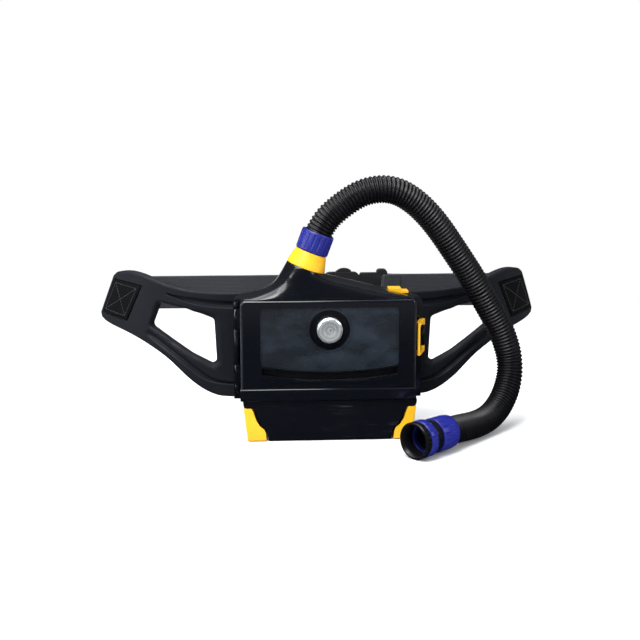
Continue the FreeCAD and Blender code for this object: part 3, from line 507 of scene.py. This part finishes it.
class Centreline:
    """A line of points, which gives its place and two cross directions at any length along it."""

    def __init__(self, points):
        self.points = points
        self.reached = [0]
        for start, end in zip(points, points[1:]):
            self.reached.append(self.reached[-1] + (end - start).length)
        self.length = self.reached[-1]
        directions = [(end - start).normalized() for start, end in zip(points, points[1:])]
        side = axes_along(directions[0])[0]
        self.sides = []
        self.directions = []
        for index in range(len(points)):
            before = directions[max(index - 1, 0)]
            after = directions[min(index, len(directions) - 1)]
            direction = (before + after).normalized()
            side = (side - direction * side.dot(direction)).normalized()
            self.directions.append(direction)
            self.sides.append(side)
        self.index = 0

    def at(self, length):
        """The place at this length along the line, and the two cross directions there."""
        while self.index < len(self.reached) - 2 and self.reached[self.index + 1] < length:
            self.index += 1
        while self.index > 0 and self.reached[self.index] > length:
            self.index -= 1
        here = self.index
        share = (length - self.reached[here]) / (self.reached[here + 1] - self.reached[here])
        place = self.points[here].lerp(self.points[here + 1], share)
        direction = self.directions[here].lerp(self.directions[here + 1], share).normalized()
        side = self.sides[here].lerp(self.sides[here + 1], share)
        side = (side - direction * side.dot(direction)).normalized()
        return place, side, direction.cross(side)


def rib_radius(length, total):
    """Plain at both ends, and round ribs with narrow valleys between."""
    inside = min(length, total - length) - PLAIN_END
    if inside < 0:
        return PLAIN_RADIUS
    wave = 0.5 - 0.5 * math.cos(2 * math.pi * inside / RIB_PITCH)
    ribbed = HOSE_VALLEY + (HOSE_RADIUS - HOSE_VALLEY) * wave ** 0.75
    return ribbed if inside > RIB_PITCH / 2 else max(ribbed, FIRST_RIB)


def bore_radius(length, total):
    """The inside of the hose: smooth, and a little wider in its plain ends."""
    return PLAIN_BORE if min(length, total - length) < PLAIN_END else HOSE_VALLEY - HOSE_WALL


def make_hose():
    """The corrugated hose: out along its ribbed outside and back along its smooth bore."""
    line = Centreline(spline_points(HOSE_ROUTE, 24))
    total = line.length
    sides = 40
    rows = int(total / RIB_PITCH * 9)
    bore_rows = 160
    rings = []
    for row in range(rows + 1):
        length = total * row / rows
        rings.append((length, rib_radius(length, total)))
    for row in range(bore_rows + 1):
        length = total * (1 - row / bore_rows)
        rings.append((length, bore_radius(length, total)))
    points = []
    for length, radius in rings:
        place, side, up = line.at(length)
        for step in range(sides):
            angle = 2 * math.pi * step / sides
            points.append(place + side * (radius * math.cos(angle)) + up * (radius * math.sin(angle)))
    hose = mesh_piece("breathing_hose", points, looped_faces(len(rings), sides), LOOKS["hose"])
    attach(hose, "unit")
    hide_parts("hose")


# ---- belt wings

WING_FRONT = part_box("belt_wing_right")[0].y
WING_STRAIGHT = 0.118
WING_BEND = 0.253
WING_THICK = 0.014
OUTER_ROUND = 0.0035
BACK_ROUND = 0.0025
WING_LOW = [(38, 40), (129, 40), (160, 44.5), (190, 62), (225, 92.5), (257, 112), (286, 124), (312, 131),
            (324, 135)]
WING_HIGH = [(306, 206), (298, 212.5), (282, 215), (265, 213), (244, 207), (221, 200), (198, 195.5),
             (174, 193), (130, 192), (38, 192)]
WING_END = [(329, 139), (330.4, 146)]
WINDOW_MIDDLE = Vector((0.200, 0.132))
WINDOW_CORNER = 0.006
WINDOW = [(237, 174), (251, 139), (190, 102), (154, 85.5), (157, 153), (196, 167)]
POCKET = [(312, 203), (259, 197), (285, 139), (340, 148)]
UPPER_GROOVE = [(226, 188), (205, 183), (180, 178.5), (150, 175.5), (118, 174.5)]
LEG_GROOVE = [(256, 131), (232, 114), (208, 97.5), (189, 83), (170, 70), (150, 62.5), (118, 59.5)]


def flat(points):
    """Millimetre pairs as vectors in metres."""
    return [Vector((across, height)) * MM for across, height in points]


def ray_hit(outline, centre, direction):
    """How far out the outline is in this direction, and the sine of the angle at which they meet."""
    best = (0, 1)
    for index in range(len(outline)):
        start = outline[index - 1] - centre
        run = outline[index] - centre - start
        cross = direction.x * run.y - direction.y * run.x
        if abs(cross) < 1e-12:
            continue
        reach = (start.x * run.y - start.y * run.x) / cross
        share = (start.x * direction.y - start.y * direction.x) / cross
        if reach > best[0] and -1e-9 <= share <= 1 + 1e-9:
            best = (reach, abs(cross) / run.length)
    return best


def on_wing(across, depth, height, side):
    """A place in the bent wing from its place in the flat frontal drawing."""
    if across <= WING_STRAIGHT:
        return Vector((side * across, WING_FRONT + depth, height))
    angle = math.asin(min((across - WING_STRAIGHT) / WING_BEND, 1))
    reach = WING_BEND - depth
    return Vector((side * (WING_STRAIGHT + reach * math.sin(angle)),
                   WING_FRONT + WING_BEND - reach * math.cos(angle), height))


def wing_section(reach_in, sine_in, reach_out, sine_out, window_round):
    """The wing's closed section along one ray, as (distance from the window's middle, depth) pairs."""
    steps = 5
    front_rows = 46
    back_rows = 12
    slow = [1 - math.cos(math.pi / 2 * step / steps) for step in range(steps + 1)]
    fast = [1 - math.sin(math.pi / 2 * step / steps) for step in range(steps + 1)]

    def outer(gap, depth):
        return reach_out - gap / sine_out, depth

    def inner(gap, depth):
        return reach_in + gap / sine_in, depth

    section = [outer(OUTER_ROUND * gap, OUTER_ROUND * deep) for gap, deep in zip(slow[:-1], fast)]
    start = outer(OUTER_ROUND, 0)[0]
    end = inner(window_round, 0)[0]
    for row in range(front_rows + 1):
        share = (1 - row / front_rows) ** 1.25
        section.append((end + (start - end) * share, 0))
    section += [inner(window_round * gap, window_round * deep) for gap, deep in zip(fast[1:], slow[1:])]
    section += [inner(BACK_ROUND * gap, WING_THICK - BACK_ROUND * deep) for gap, deep in zip(slow, fast)]
    start = inner(BACK_ROUND, 0)[0]
    end = outer(BACK_ROUND, 0)[0]
    for row in range(1, back_rows):
        section.append((start + (end - start) * row / back_rows, WING_THICK))
    section += [outer(BACK_ROUND * gap, WING_THICK - BACK_ROUND * deep) for gap, deep in zip(fast, slow)]
    return section


def wing_relief(place):
    """How deep the two grooves press the front skin in, at a place in the frontal drawing."""
    gap, along = distance_to_line(place, UPPER_LINE)
    wide = 0.0009 + 0.0028 * smooth_step(along, 0, 0.6)
    upper = 0.0046 * smooth_step(along, 0, 0.12) * (1 - smooth_step(gap, wide * 0.4, wide * 1.6))
    gap, along = distance_to_line(place, LEG_LINE)
    wide = 0.0058 - 0.0036 * smooth_step(along, 0.55, 0.95)
    leg = 0.0048 * smooth_step(along, 0, 0.1) * (1 - smooth_step(gap, wide * 0.15, wide))
    return upper + leg


UPPER_LINE = smooth_line(flat(UPPER_GROOVE), 3)
LEG_LINE = smooth_line(flat(LEG_GROOVE), 3)


def wing_points():
    """The rings of the flat wing: for each ray from the window's middle, its section as (place, depth)."""
    outline = smooth_line(flat(WING_LOW), 8) + flat(WING_END) + smooth_line(flat(WING_HIGH), 8)
    window = round_corners(flat(WINDOW), WINDOW_CORNER, 6)
    even_rays = 520
    least_turn = 0.004
    angles = [2 * math.pi * step / even_rays for step in range(even_rays)]
    angles += [math.atan2(*(point - WINDOW_MIDDLE).yx) % (2 * math.pi) for point in window + outline]
    angles.sort()
    kept = [angles[0]]
    for angle in angles[1:]:
        if angle - kept[-1] > least_turn:
            kept.append(angle)
    sections = []
    for angle in kept:
        ray = Vector((math.cos(angle), math.sin(angle)))
        reach_in, sine_in = ray_hit(window, WINDOW_MIDDLE, ray)
        reach_out, sine_out = ray_hit(outline, WINDOW_MIDDLE, ray)
        towards_unit = smooth_step(-ray.x, 0.2, 0.75)
        above = 0.3 * smooth_step(ray.y, 0.3, 0.8)
        below = 0.6 * smooth_step(-ray.y, 0.2, 0.7)
        window_round = 0.0028 + 0.0072 * max(towards_unit, below, above)
        section = wing_section(reach_in, max(sine_in, 0.5), reach_out, max(sine_out, 0.5), window_round)
        sections.append([(WINDOW_MIDDLE + ray * reach, depth) for reach, depth in section])
    return sections


POCKET_DEPTH = 0.003
POCKET_WALL = 0.0007
POCKET_ZONE = 0.25
TIP_LIP = 0.0036
FRONT_SKIN = 0.001


def pocket_sides():
    """The three straight sides of the webbing pocket: a point on each and the way into the pocket."""
    corners = flat(POCKET)
    middle = sum(corners, Vector((0, 0))) / len(corners)
    sides = []
    for start, end in zip(corners, corners[1:]):
        run = (end - start).normalized()
        inward = Vector((-run.y, run.x))
        if inward.dot(middle - start) < 0:
            inward = -inward
        sides.append((start, inward))
    return sides


def pocket_relief(place, depth_in_end):
    """How deep the pocket is here: nothing outside it, full depth inside its steep walls."""
    inside = min((place - start).dot(inward) for start, inward in POCKET_SIDES)
    past_lip = smooth_step(depth_in_end, TIP_LIP, TIP_LIP + 0.001)
    return POCKET_DEPTH * smooth_step(inside, 0, POCKET_WALL) * past_lip


POCKET_SIDES = pocket_sides()
WING_TIP = flat([(330.4, 146), (306, 206)])


def make_wing(name, side, sections, replaced):
    """One wing: a flat closed mesh, cut along the pocket's sides, pressed in relief and then bent."""
    size = len(sections[0])
    points = [(place.x, depth, place.y) for section in sections for place, depth in section]
    wing = mesh_piece(name, points, looped_faces(len(sections), size), LOOKS["foam"])
    shape = bmesh.new()
    shape.from_mesh(wing.data)
    for start, inward in POCKET_SIDES:
        for offset in (0, POCKET_WALL / 2, POCKET_WALL):
            near = [face for face in shape.faces if face.calc_center_median().x > POCKET_ZONE]
            edges = {edge for face in near for edge in face.edges}
            corners = {corner for face in near for corner in face.verts}
            at = start + inward * offset
            bmesh.ops.bisect_plane(shape, geom=[*near, *edges, *corners], dist=0.00002,
                                   plane_co=(at.x, 0, at.y), plane_no=(inward.x, 0, inward.y))
    tip_run = (WING_TIP[1] - WING_TIP[0]).normalized()
    for corner in shape.verts:
        place = corner.co.xz
        depth = corner.co.y
        if depth < FRONT_SKIN:
            from_tip = (place - WING_TIP[0]).cross(tip_run)
            depth += wing_relief(place) + pocket_relief(place, abs(from_tip))
        corner.co = on_wing(place.x, depth, place.y, side)
    bmesh.ops.recalc_face_normals(shape, faces=shape.faces)
    shape.to_mesh(wing.data)
    shape.free()
    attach(wing, "unit")
    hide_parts(replaced)


# ---- webbing

PATCH = [(304.5, 202), (261.5, 195.3), (286.5, 142), (328.5, 148.5)]
STITCH_PITCH = 0.0036
PATCH_FRONT = 0.0008
PATCH_BACK = 0.0028


def in_patch(along, up):
    """A place in the frontal drawing from shares along and up the patch, each 0 to 1."""
    top_out, top_in, low_in, low_out = flat(PATCH)
    top = top_in.lerp(top_out, along)
    low = low_in.lerp(low_out, along)
    return low.lerp(top, up)


def stitch_run(start, end, side, points, faces):
    """A row of raised stitches in the patch between two (along, up) places."""
    ends = [in_patch(*start), in_patch(*end)]
    run = (ends[1] - ends[0]).normalized()
    across = Vector((-run.y, run.x))
    count = int((ends[1] - ends[0]).length / STITCH_PITCH)
    for index in range(count):
        first = len(points)
        for share, thick in ((0.1, 0.00015), (0.3, 0.0004), (0.7, 0.0004), (0.9, 0.00015)):
            place = ends[0].lerp(ends[1], (index + share) / count)
            for step in range(6):
                angle = 2 * math.pi * step / 6
                spot = place + across * (1.3 * thick * math.cos(angle))
                points.append(on_wing(spot.x, PATCH_FRONT - thick * math.sin(angle), spot.y, side))
        faces += capped_faces(4, 6, first)


def make_patch(name, side, replaced):
    """The webbing sewn into the wing's pocket, with a boxed cross of stitches."""
    columns = 28
    rows = 36
    edge_drop = 0.0006
    points = []
    for row in range(rows + 1):
        up = row / rows
        for column in range(columns + 1):
            share = column / columns
            place = in_patch(share, up)
            edge = min(share, 1 - share, up, 1 - up)
            drop = edge_drop * (1 - smooth_step(edge, 0, 0.05))
            points.append(on_wing(place.x, PATCH_FRONT + drop, place.y, side))
        for column in range(columns + 1):
            place = in_patch(1 - column / columns, up)
            points.append(on_wing(place.x, PATCH_BACK, place.y, side))
    faces = capped_faces(rows + 1, 2 * (columns + 1))
    patch = mesh_piece(name + "_cloth", points, faces, LOOKS["patch"])
    corners = [(0.12, 0.1), (0.88, 0.1), (0.88, 0.9), (0.12, 0.9)]
    points = []
    faces = []
    for start, end in ((0, 1), (1, 2), (2, 3), (3, 0), (0, 2), (1, 3)):
        stitch_run(corners[start], corners[end], side, points, faces)
    stitches = mesh_piece(name + "_stitches", points, faces, LOOKS["thread"])
    whole = joined(name, [patch, stitches])
    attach(whole, "unit")
    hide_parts(replaced)


STRAP_LOW = 0.149
STRAP_HIGH = 0.199
STRAP_DEPTH = 0.103
STRAP_THICK = 0.0019
WRAP_THICK = 0.0016
STRAP_TURN = 0.262
STRAP_PULL = 0.292
RIPPLE = 0.0004
WRAP = [(-14, 104.9), (-4, 105.6), (4, 108), (8, 111), (12, 111.2), (14, 108), (14.1, 103), (14, 98),
        (12, 94.9), (8, 95), (4, 98), (-4, 100.4), (-14, 101.1)]
RIGHT_WRAP = 110.3


def strap_section(thick):
    """The webbing's cross-section as (through, height) pairs, with round selvedges a little thicker."""
    middle = (STRAP_LOW + STRAP_HIGH) / 2
    half = (STRAP_HIGH - STRAP_LOW) / 2
    face = [(0.5, -0.96), (0.46, -0.9), (0.43, -0.3), (0.43, 0.3), (0.46, 0.9), (0.5, 0.96)]
    back = [(-share, up) for share, up in reversed(face)]
    top = [(0.25, 0.995), (-0.25, 0.995)]
    foot = [(-0.25, -0.995), (0.25, -0.995)]
    return [(share * thick, middle + half * up) for share, up in face + top + back + foot]


def strap_end(height, side):
    """Where the webbing meets the wing's back at this height, just inside the wing's slanting end."""
    low, high = WING_TIP
    inset = 0.006
    clear = 0.0011
    share = (height - low.y) / (high.y - low.y)
    across = low.x + (high.x - low.x) * share - inset
    return on_wing(across, WING_THICK + clear, height, side).xy


def belt_line(start, side, height):
    """The belt at one height from the buckle out: almost straight, then turned in to the wing's end."""
    count = 44
    turn_count = 12
    turn = side * STRAP_TURN
    line = []
    for step in range(count + 1):
        share = step / count
        across = start + (turn - start) * share
        ripple = RIPPLE * math.sin(across * 70) * math.sin(math.pi * share)
        line.append(Vector((across, STRAP_DEPTH + ripple)))
    pull = Vector((side * STRAP_PULL, STRAP_DEPTH))
    end = strap_end(height, side)
    for step in range(1, turn_count + 1):
        share = step / turn_count
        line.append(line[count].lerp(pull, share).lerp(pull.lerp(end, share), share))
    return line


def make_strap(name, line_at, thick):
    """Webbing whose long run of X and Y places is given for each height."""
    section = strap_section(thick)
    lines = [line_at(height) for through, height in section]
    count = len(lines[0])
    points = []
    for index in range(count):
        for line, (through, height) in zip(lines, section):
            run = (line[min(index + 1, count - 1)] - line[max(index - 1, 0)]).normalized()
            spot = line[index] + Vector((-run.y, run.x)) * through
            points.append((spot.x, spot.y, height))
    return mesh_piece(name, points, capped_faces(count, len(section)), LOOKS["webbing"])


def make_webbing():
    """The belt's two runs, and the wrap of each round its bar of the buckle."""
    left_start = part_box("webbing_left")[1].x
    right_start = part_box("webbing_right")[0].x
    left = make_strap("webbing_left_woven", lambda height: belt_line(left_start, -1, height), STRAP_THICK)
    right = make_strap("webbing_right_woven", lambda height: belt_line(right_start, 1, height), STRAP_THICK)
    left_line = smooth_line(flat(WRAP), 4)
    right_line = smooth_line(flat([(RIGHT_WRAP - across, depth) for across, depth in WRAP]), 4)
    wrap_left = make_strap("strap_wrap_left", lambda height: left_line, WRAP_THICK)
    wrap_right = make_strap("strap_wrap_right", lambda height: right_line, WRAP_THICK)
    for piece, body in ((left, "unit"), (right, "unit"), (wrap_left, "unit"), (wrap_right, "buckle")):
        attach(piece, body)
    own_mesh(right)
    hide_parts("webbing_left")
    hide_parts("webbing_right")


# ---- lumbar pad

def pad_outline(low, high, inset, radius):
    """A rounded rectangle inside the pad's box, in X and Z."""
    corners = [Vector((low.x + inset, low.z + inset)), Vector((high.x - inset, low.z + inset)),
               Vector((high.x - inset, high.z - inset)), Vector((low.x + inset, high.z - inset))]
    return round_corners(corners, radius, 6)


def swell(pad, start, cap):
    """Blow the pad up as cloth for a few frames, and keep every point near where it began."""
    cloth = pad.modifiers.new("cloth", "CLOTH")
    cloth.settings.use_pressure = True
    cloth.settings.uniform_pressure_force = 4
    cloth.settings.tension_stiffness = 12
    cloth.settings.effector_weights.gravity = 0
    frames = 20
    cloth.point_cache.frame_end = frames
    for frame_number in range(1, frames + 1):
        bpy.context.scene.frame_set(frame_number)
    ready = pad.evaluated_get(bpy.context.evaluated_depsgraph_get())
    swollen = [vertex.co.copy() for vertex in ready.data.vertices]
    pad.modifiers.remove(cloth)
    bpy.context.scene.frame_set(1)
    for vertex, began, now in zip(pad.data.vertices, start, swollen):
        move = now - began
        if move.length > cap:
            move *= cap / move.length
        vertex.co = began + move


def apply_modifiers(piece):
    """Put the mesh that the piece's modifiers give in place of its own."""
    ready = piece.evaluated_get(bpy.context.evaluated_depsgraph_get())
    made = bpy.data.meshes.new_from_object(ready)
    piece.modifiers.clear()
    piece.data = made
    return made


def make_pad():
    """The spacer-fabric pad behind the unit: cloth blown up over foam, then quilted in channels."""
    low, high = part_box("lumbar_pad")
    proud = 0.002
    outline = pad_outline(low, high, 0.003, 0.016)
    points = [(spot.x, depth, spot.y) for depth in (low.y + 0.0012, high.y - 0.0042) for spot in outline]
    pad = mesh_piece("lumbar_pad_fabric", points, capped_faces(2, len(outline)), LOOKS["pad"])
    remesh = pad.modifiers.new("remesh", "REMESH")
    remesh.mode = "VOXEL"
    remesh.voxel_size = 0.004
    fine = apply_modifiers(pad)
    swell(pad, [vertex.co.copy() for vertex in fine.vertices], 0.005)
    smooth = pad.modifiers.new("smooth", "SUBSURF")
    smooth.levels = smooth.render_levels = 1
    finest = apply_modifiers(pad)
    middle = (low.y + high.y) / 2
    for vertex in finest.vertices:
        place = vertex.co
        if place.y > middle:
            place.y -= quilting(place, low, high)
        place.y = min(max(place.y, low.y + 0.0001), high.y + proud)
    finest.materials.clear()
    finest.materials.append(LOOKS["pad"])
    finest.polygons.foreach_set("use_smooth", [True] * len(finest.polygons))
    turn_outward(pad)
    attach(pad, "unit")
    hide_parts("lumbar_pad")


def quilting(place, low, high):
    """How deep the sewn channels press the pad's free face in at this place."""
    seam_inset = 0.011
    channels = (-0.045, 0.045)
    to_edge = min(place.x - low.x, high.x - place.x, place.z - low.z, high.z - place.z)
    seam = math.exp(-((to_edge - seam_inset) / 0.0024) ** 2)
    channel = max(math.exp(-((place.x - at) / 0.0028) ** 2) for at in channels)
    within = smooth_step(to_edge, seam_inset - 0.002, seam_inset + 0.002)
    return 0.0026 * seam + 0.0042 * channel * within


# ---- springs

def make_coil(name, start, end, radius, wire, turns):
    """A round-wire spring between two points."""
    axis = (end - start).normalized()
    side, up = axes_along(axis)
    rows = turns * 20
    sides = 8
    points = []
    for row in range(rows + 1):
        angle = 2 * math.pi * turns * row / rows
        out = side * math.cos(angle) + up * math.sin(angle)
        rise = wire + ((end - start).length - 2 * wire) * row / rows
        centre = start + axis * rise + out * radius
        for step in range(sides):
            round_wire = 2 * math.pi * step / sides
            points.append(centre + (out * math.cos(round_wire) + axis * math.sin(round_wire)) * wire)
    return mesh_piece(name, points, capped_faces(rows + 1, sides), LOOKS["steel"])


def make_springs():
    """The coil under the power button and the coil behind each battery latch."""
    low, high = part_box("button_spring")
    middle = (low + high) / 2
    foot = Vector((middle.x, middle.y, low.z))
    head = Vector((middle.x, middle.y, high.z))
    coil = make_coil("button_coil", foot, head, 0.0025, 0.00025, 3)
    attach(coil, "unit")
    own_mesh(coil)
    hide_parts("button_spring")
    for hand in ("left", "right"):
        node = f"latch_spring_{hand}"
        low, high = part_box(node)
        middle = (low + high) / 2
        fixed, free = (high.x, low.x) if hand == "left" else (low.x, high.x)
        foot = Vector((fixed, middle.y, middle.z))
        head = Vector((free, middle.y, middle.z))
        coil = make_coil(f"latch_coil_{hand}", foot, head, 0.0029, 0.0004, 7)
        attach(coil, "battery")
        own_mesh(coil)
        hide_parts(node)


# ---- hard parts from the frame

def refine(name, look, edge=0.0):
    """Give a CAD node its material, and round its sharp edges a little to catch the light."""
    node = nodes[name]
    node.data.materials.clear()
    node.data.materials.append(LOOKS[look])
    if edge:
        weld = node.modifiers.new("weld", "WELD")
        weld.merge_threshold = 0.00001
        bevel = node.modifiers.new("edge", "BEVEL")
        bevel.width = edge
        bevel.segments = 2
        bevel.limit_method = "ANGLE"
        bevel.angle_limit = math.radians(38)
        bevel.harden_normals = True


FINISHES = [
    ("cover", 0.0009, ["filter_cover"]),
    ("housing", 0.0007, ["front_housing"]),
    ("housing", 0.0005, ["rear_housing"]),
    ("battery", 0.0005, ["battery_case", "battery_lid"]),
    ("yellow", 0.0005, ["outlet_collar", "cover_latch", "power_button", "battery_latch_left",
                        "battery_latch_right"]),
    ("blue", 0.0004, ["upper_coupling", "lower_lock_ring", "lower_sleeve"]),
    ("shaded_blue", 0.0004, ["mouth_ring"]),
    ("cuff", 0.0004, ["lower_cuff", "upper_cuff"]),
    ("disc", 0.0003, ["lock_disc"]),
    ("buckle", 0.0005, ["buckle_socket", "buckle_plug", "belt_plate"]),
    ("steel", 0, ["hinge_pin", "latch_pin", "lock_clip", "housing_screws", "belt_screws", "motor_screws",
                  "motor_shaft", "stator", "motor_bearings"]),
    ("screen", 0, ["spark_arrestor"]),
    ("brass", 0, ["lock_nut", "contact_pins", "battery_terminals"]),
    ("felt", 0, ["filter_media", "prefilter"]),
    ("inner", 0, ["filter_frame", "scroll_casing", "scroll_lid", "impeller", "rotor_cup", "motor_mount",
                  "contact_block", "charge_socket", "buzzer"]),
    ("rubber", 0, ["filter_gasket", "outlet_seal"]),
    ("board", 0, ["control_board", "cell_board"]),
    ("cells", 0, ["battery_cells"]),
]


# ---- stage

def make_floor():
    """A pale sheet, lit near the object and glowing evenly further out, so that no edge shows behind it.

    Glossy surfaces see it dimly near the object, as if black cards stood just out of view.
    """
    made = Wiring("pale_floor", (0.9, 0.9, 0.9), 0.7, Specular_IOR_Level=0.1)
    made.tint(made.noise(3, 2), (0.90, 0.90, 0.905), (0.94, 0.94, 0.94))
    glow = made.add("ShaderNodeEmission")
    mix = made.add("ShaderNodeMixShader")
    reach = made.add("ShaderNodeVectorMath", operation="LENGTH")
    made.link(made.place, reach.inputs[0])
    made.link(made.spread(reach.outputs["Value"], 0.42, 1.1, 0, 1), mix.inputs["Fac"])
    made.link(made.shader.outputs["BSDF"], mix.inputs[1])
    made.link(glow.outputs["Emission"], mix.inputs[2])
    mirrored = made.add("ShaderNodeEmission")
    made.link(made.spread(reach.outputs["Value"], 0.8, 2.2, 0.02, 0.8), mirrored.inputs["Strength"])
    choice = made.add("ShaderNodeMixShader")
    made.link(made.add("ShaderNodeLightPath").outputs["Is Glossy Ray"], choice.inputs["Fac"])
    made.link(mix.outputs["Shader"], choice.inputs[1])
    made.link(mirrored.outputs["Emission"], choice.inputs[2])
    made.link(choice.outputs["Shader"], made.tree.nodes["Material Output"].inputs["Surface"])
    half = 12.0
    corners = [(-half, -half, 0), (half, -half, 0), (half, half, 0), (-half, half, 0)]
    floor = mesh_piece("floor", corners, [(0, 1, 2, 3)], made.material)


def soft_light(name, place, aim, size, power):
    """A rectangular area light that points at its aim."""
    lamp = bpy.data.lights.new(name, "AREA")
    lamp.shape = "RECTANGLE"
    lamp.size, lamp.size_y = size
    lamp.energy = power
    holder = bpy.data.objects.new(name, lamp)
    holder.location = place
    holder.rotation_euler = (Vector(aim) - Vector(place)).to_track_quat("-Z", "Y").to_euler()
    bpy.context.scene.collection.objects.link(holder)


def make_world():
    """White to the camera; else a studio, bright overhead, dim at eye level, dimmer in reflections."""
    world = bpy.data.worlds.new("studio")
    bpy.context.scene.world = world
    world.use_nodes = True
    tree = world.node_tree
    tree.nodes.clear()

    def add(kind, values):
        node = tree.nodes.new(kind)
        for socket, value in values.items():
            node.inputs[socket].default_value = value
        return node

    place = add("ShaderNodeTexCoord", {})
    parts = add("ShaderNodeSeparateXYZ", {})
    ramp = add("ShaderNodeMapRange", {"From Min": 0.0, "From Max": 0.9, "To Min": 0.45, "To Max": 0.75})
    studio = add("ShaderNodeBackground", {"Color": (0.93, 0.96, 1.0, 1)})
    white = add("ShaderNodeBackground", {"Color": (1, 1, 1, 1), "Strength": 1.0})
    path = add("ShaderNodeLightPath", {})
    choice = add("ShaderNodeMixShader", {})
    out = add("ShaderNodeOutputWorld", {})
    dim = add("ShaderNodeMath", {1: -0.47})
    dim.operation = "MULTIPLY_ADD"
    least = add("ShaderNodeMath", {1: 0.05})
    least.operation = "MAXIMUM"
    for source, target in (
            (place.outputs["Generated"], parts.inputs[0]),
            (parts.outputs["Z"], ramp.inputs["Value"]),
            (path.outputs["Is Glossy Ray"], dim.inputs[0]),
            (ramp.outputs["Result"], dim.inputs[2]),
            (dim.outputs["Value"], least.inputs[0]),
            (least.outputs["Value"], studio.inputs["Strength"]),
            (path.outputs["Is Camera Ray"], choice.inputs["Fac"]),
            (studio.outputs["Background"], choice.inputs[1]),
            (white.outputs["Background"], choice.inputs[2]),
            (choice.outputs["Shader"], out.inputs["Surface"])):
        tree.links.new(source, target)


VIEW_AZIMUTH = math.radians(-3.5)
VIEW_ELEVATION = math.radians(11)
VIEW_DISTANCE = 1.5912
VIEW_LENS = 64.69
VIEW_TARGET = Vector((-0.008, -0.061, 0.1605))


def make_camera():
    """A view from a little above and a little to the left."""
    away = Vector((math.sin(VIEW_AZIMUTH) * math.cos(VIEW_ELEVATION),
                   -math.cos(VIEW_AZIMUTH) * math.cos(VIEW_ELEVATION), math.sin(VIEW_ELEVATION)))
    lens = bpy.data.cameras.new("camera")
    lens.lens = VIEW_LENS
    lens.sensor_width = 36
    camera = bpy.data.objects.new("camera", lens)
    camera.location = VIEW_TARGET + away * VIEW_DISTANCE
    camera.rotation_euler = (-away).to_track_quat("-Z", "Y").to_euler()
    bpy.context.scene.collection.objects.link(camera)
    bpy.context.scene.camera = camera


# ---- the scene

LIGHTS = [
    ("key", (-1.2, -1.6, 2.2), (0, 0, 0.12), (1.4, 1.0), 34),
    ("fill", (1.9, -1.2, 1.3), (0, 0, 0.12), (1.0, 1.0), 14),
    ("top", (-0.4, 0.1, 2.0), (0, -0.05, 0.1), (2.6, 1.4), 50),
    ("brow", (-0.2, -1.0, 1.8), (-0.05, -0.08, 0.2), (0.7, 0.9), 20),
    ("side", (-1.7, -0.15, 0.5), (-0.12, -0.08, 0.12), (0.3, 0.9), 9),
    ("cheek", (-1.5, -1.3, 0.8), (-0.05, -0.08, 0.2), (0.45, 0.6), 9),
]

make_camera()
make_world()
make_floor()
for light in LIGHTS:
    soft_light(*light)
bpy.context.scene.view_settings.view_transform = "Standard"

make_hose()
wing_sections = wing_points()
make_wing("wing_right", 1, wing_sections, "belt_wing_right")
make_wing("wing_left", -1, wing_sections, "belt_wing_left")
make_patch("webbing_patch_right", 1, "webbing_anchor_right")
make_patch("webbing_patch_left", -1, "webbing_anchor_left")
make_webbing()
make_pad()
make_springs()
for look, edge, names in FINISHES:
    for name in names:
        refine(name, look, edge)
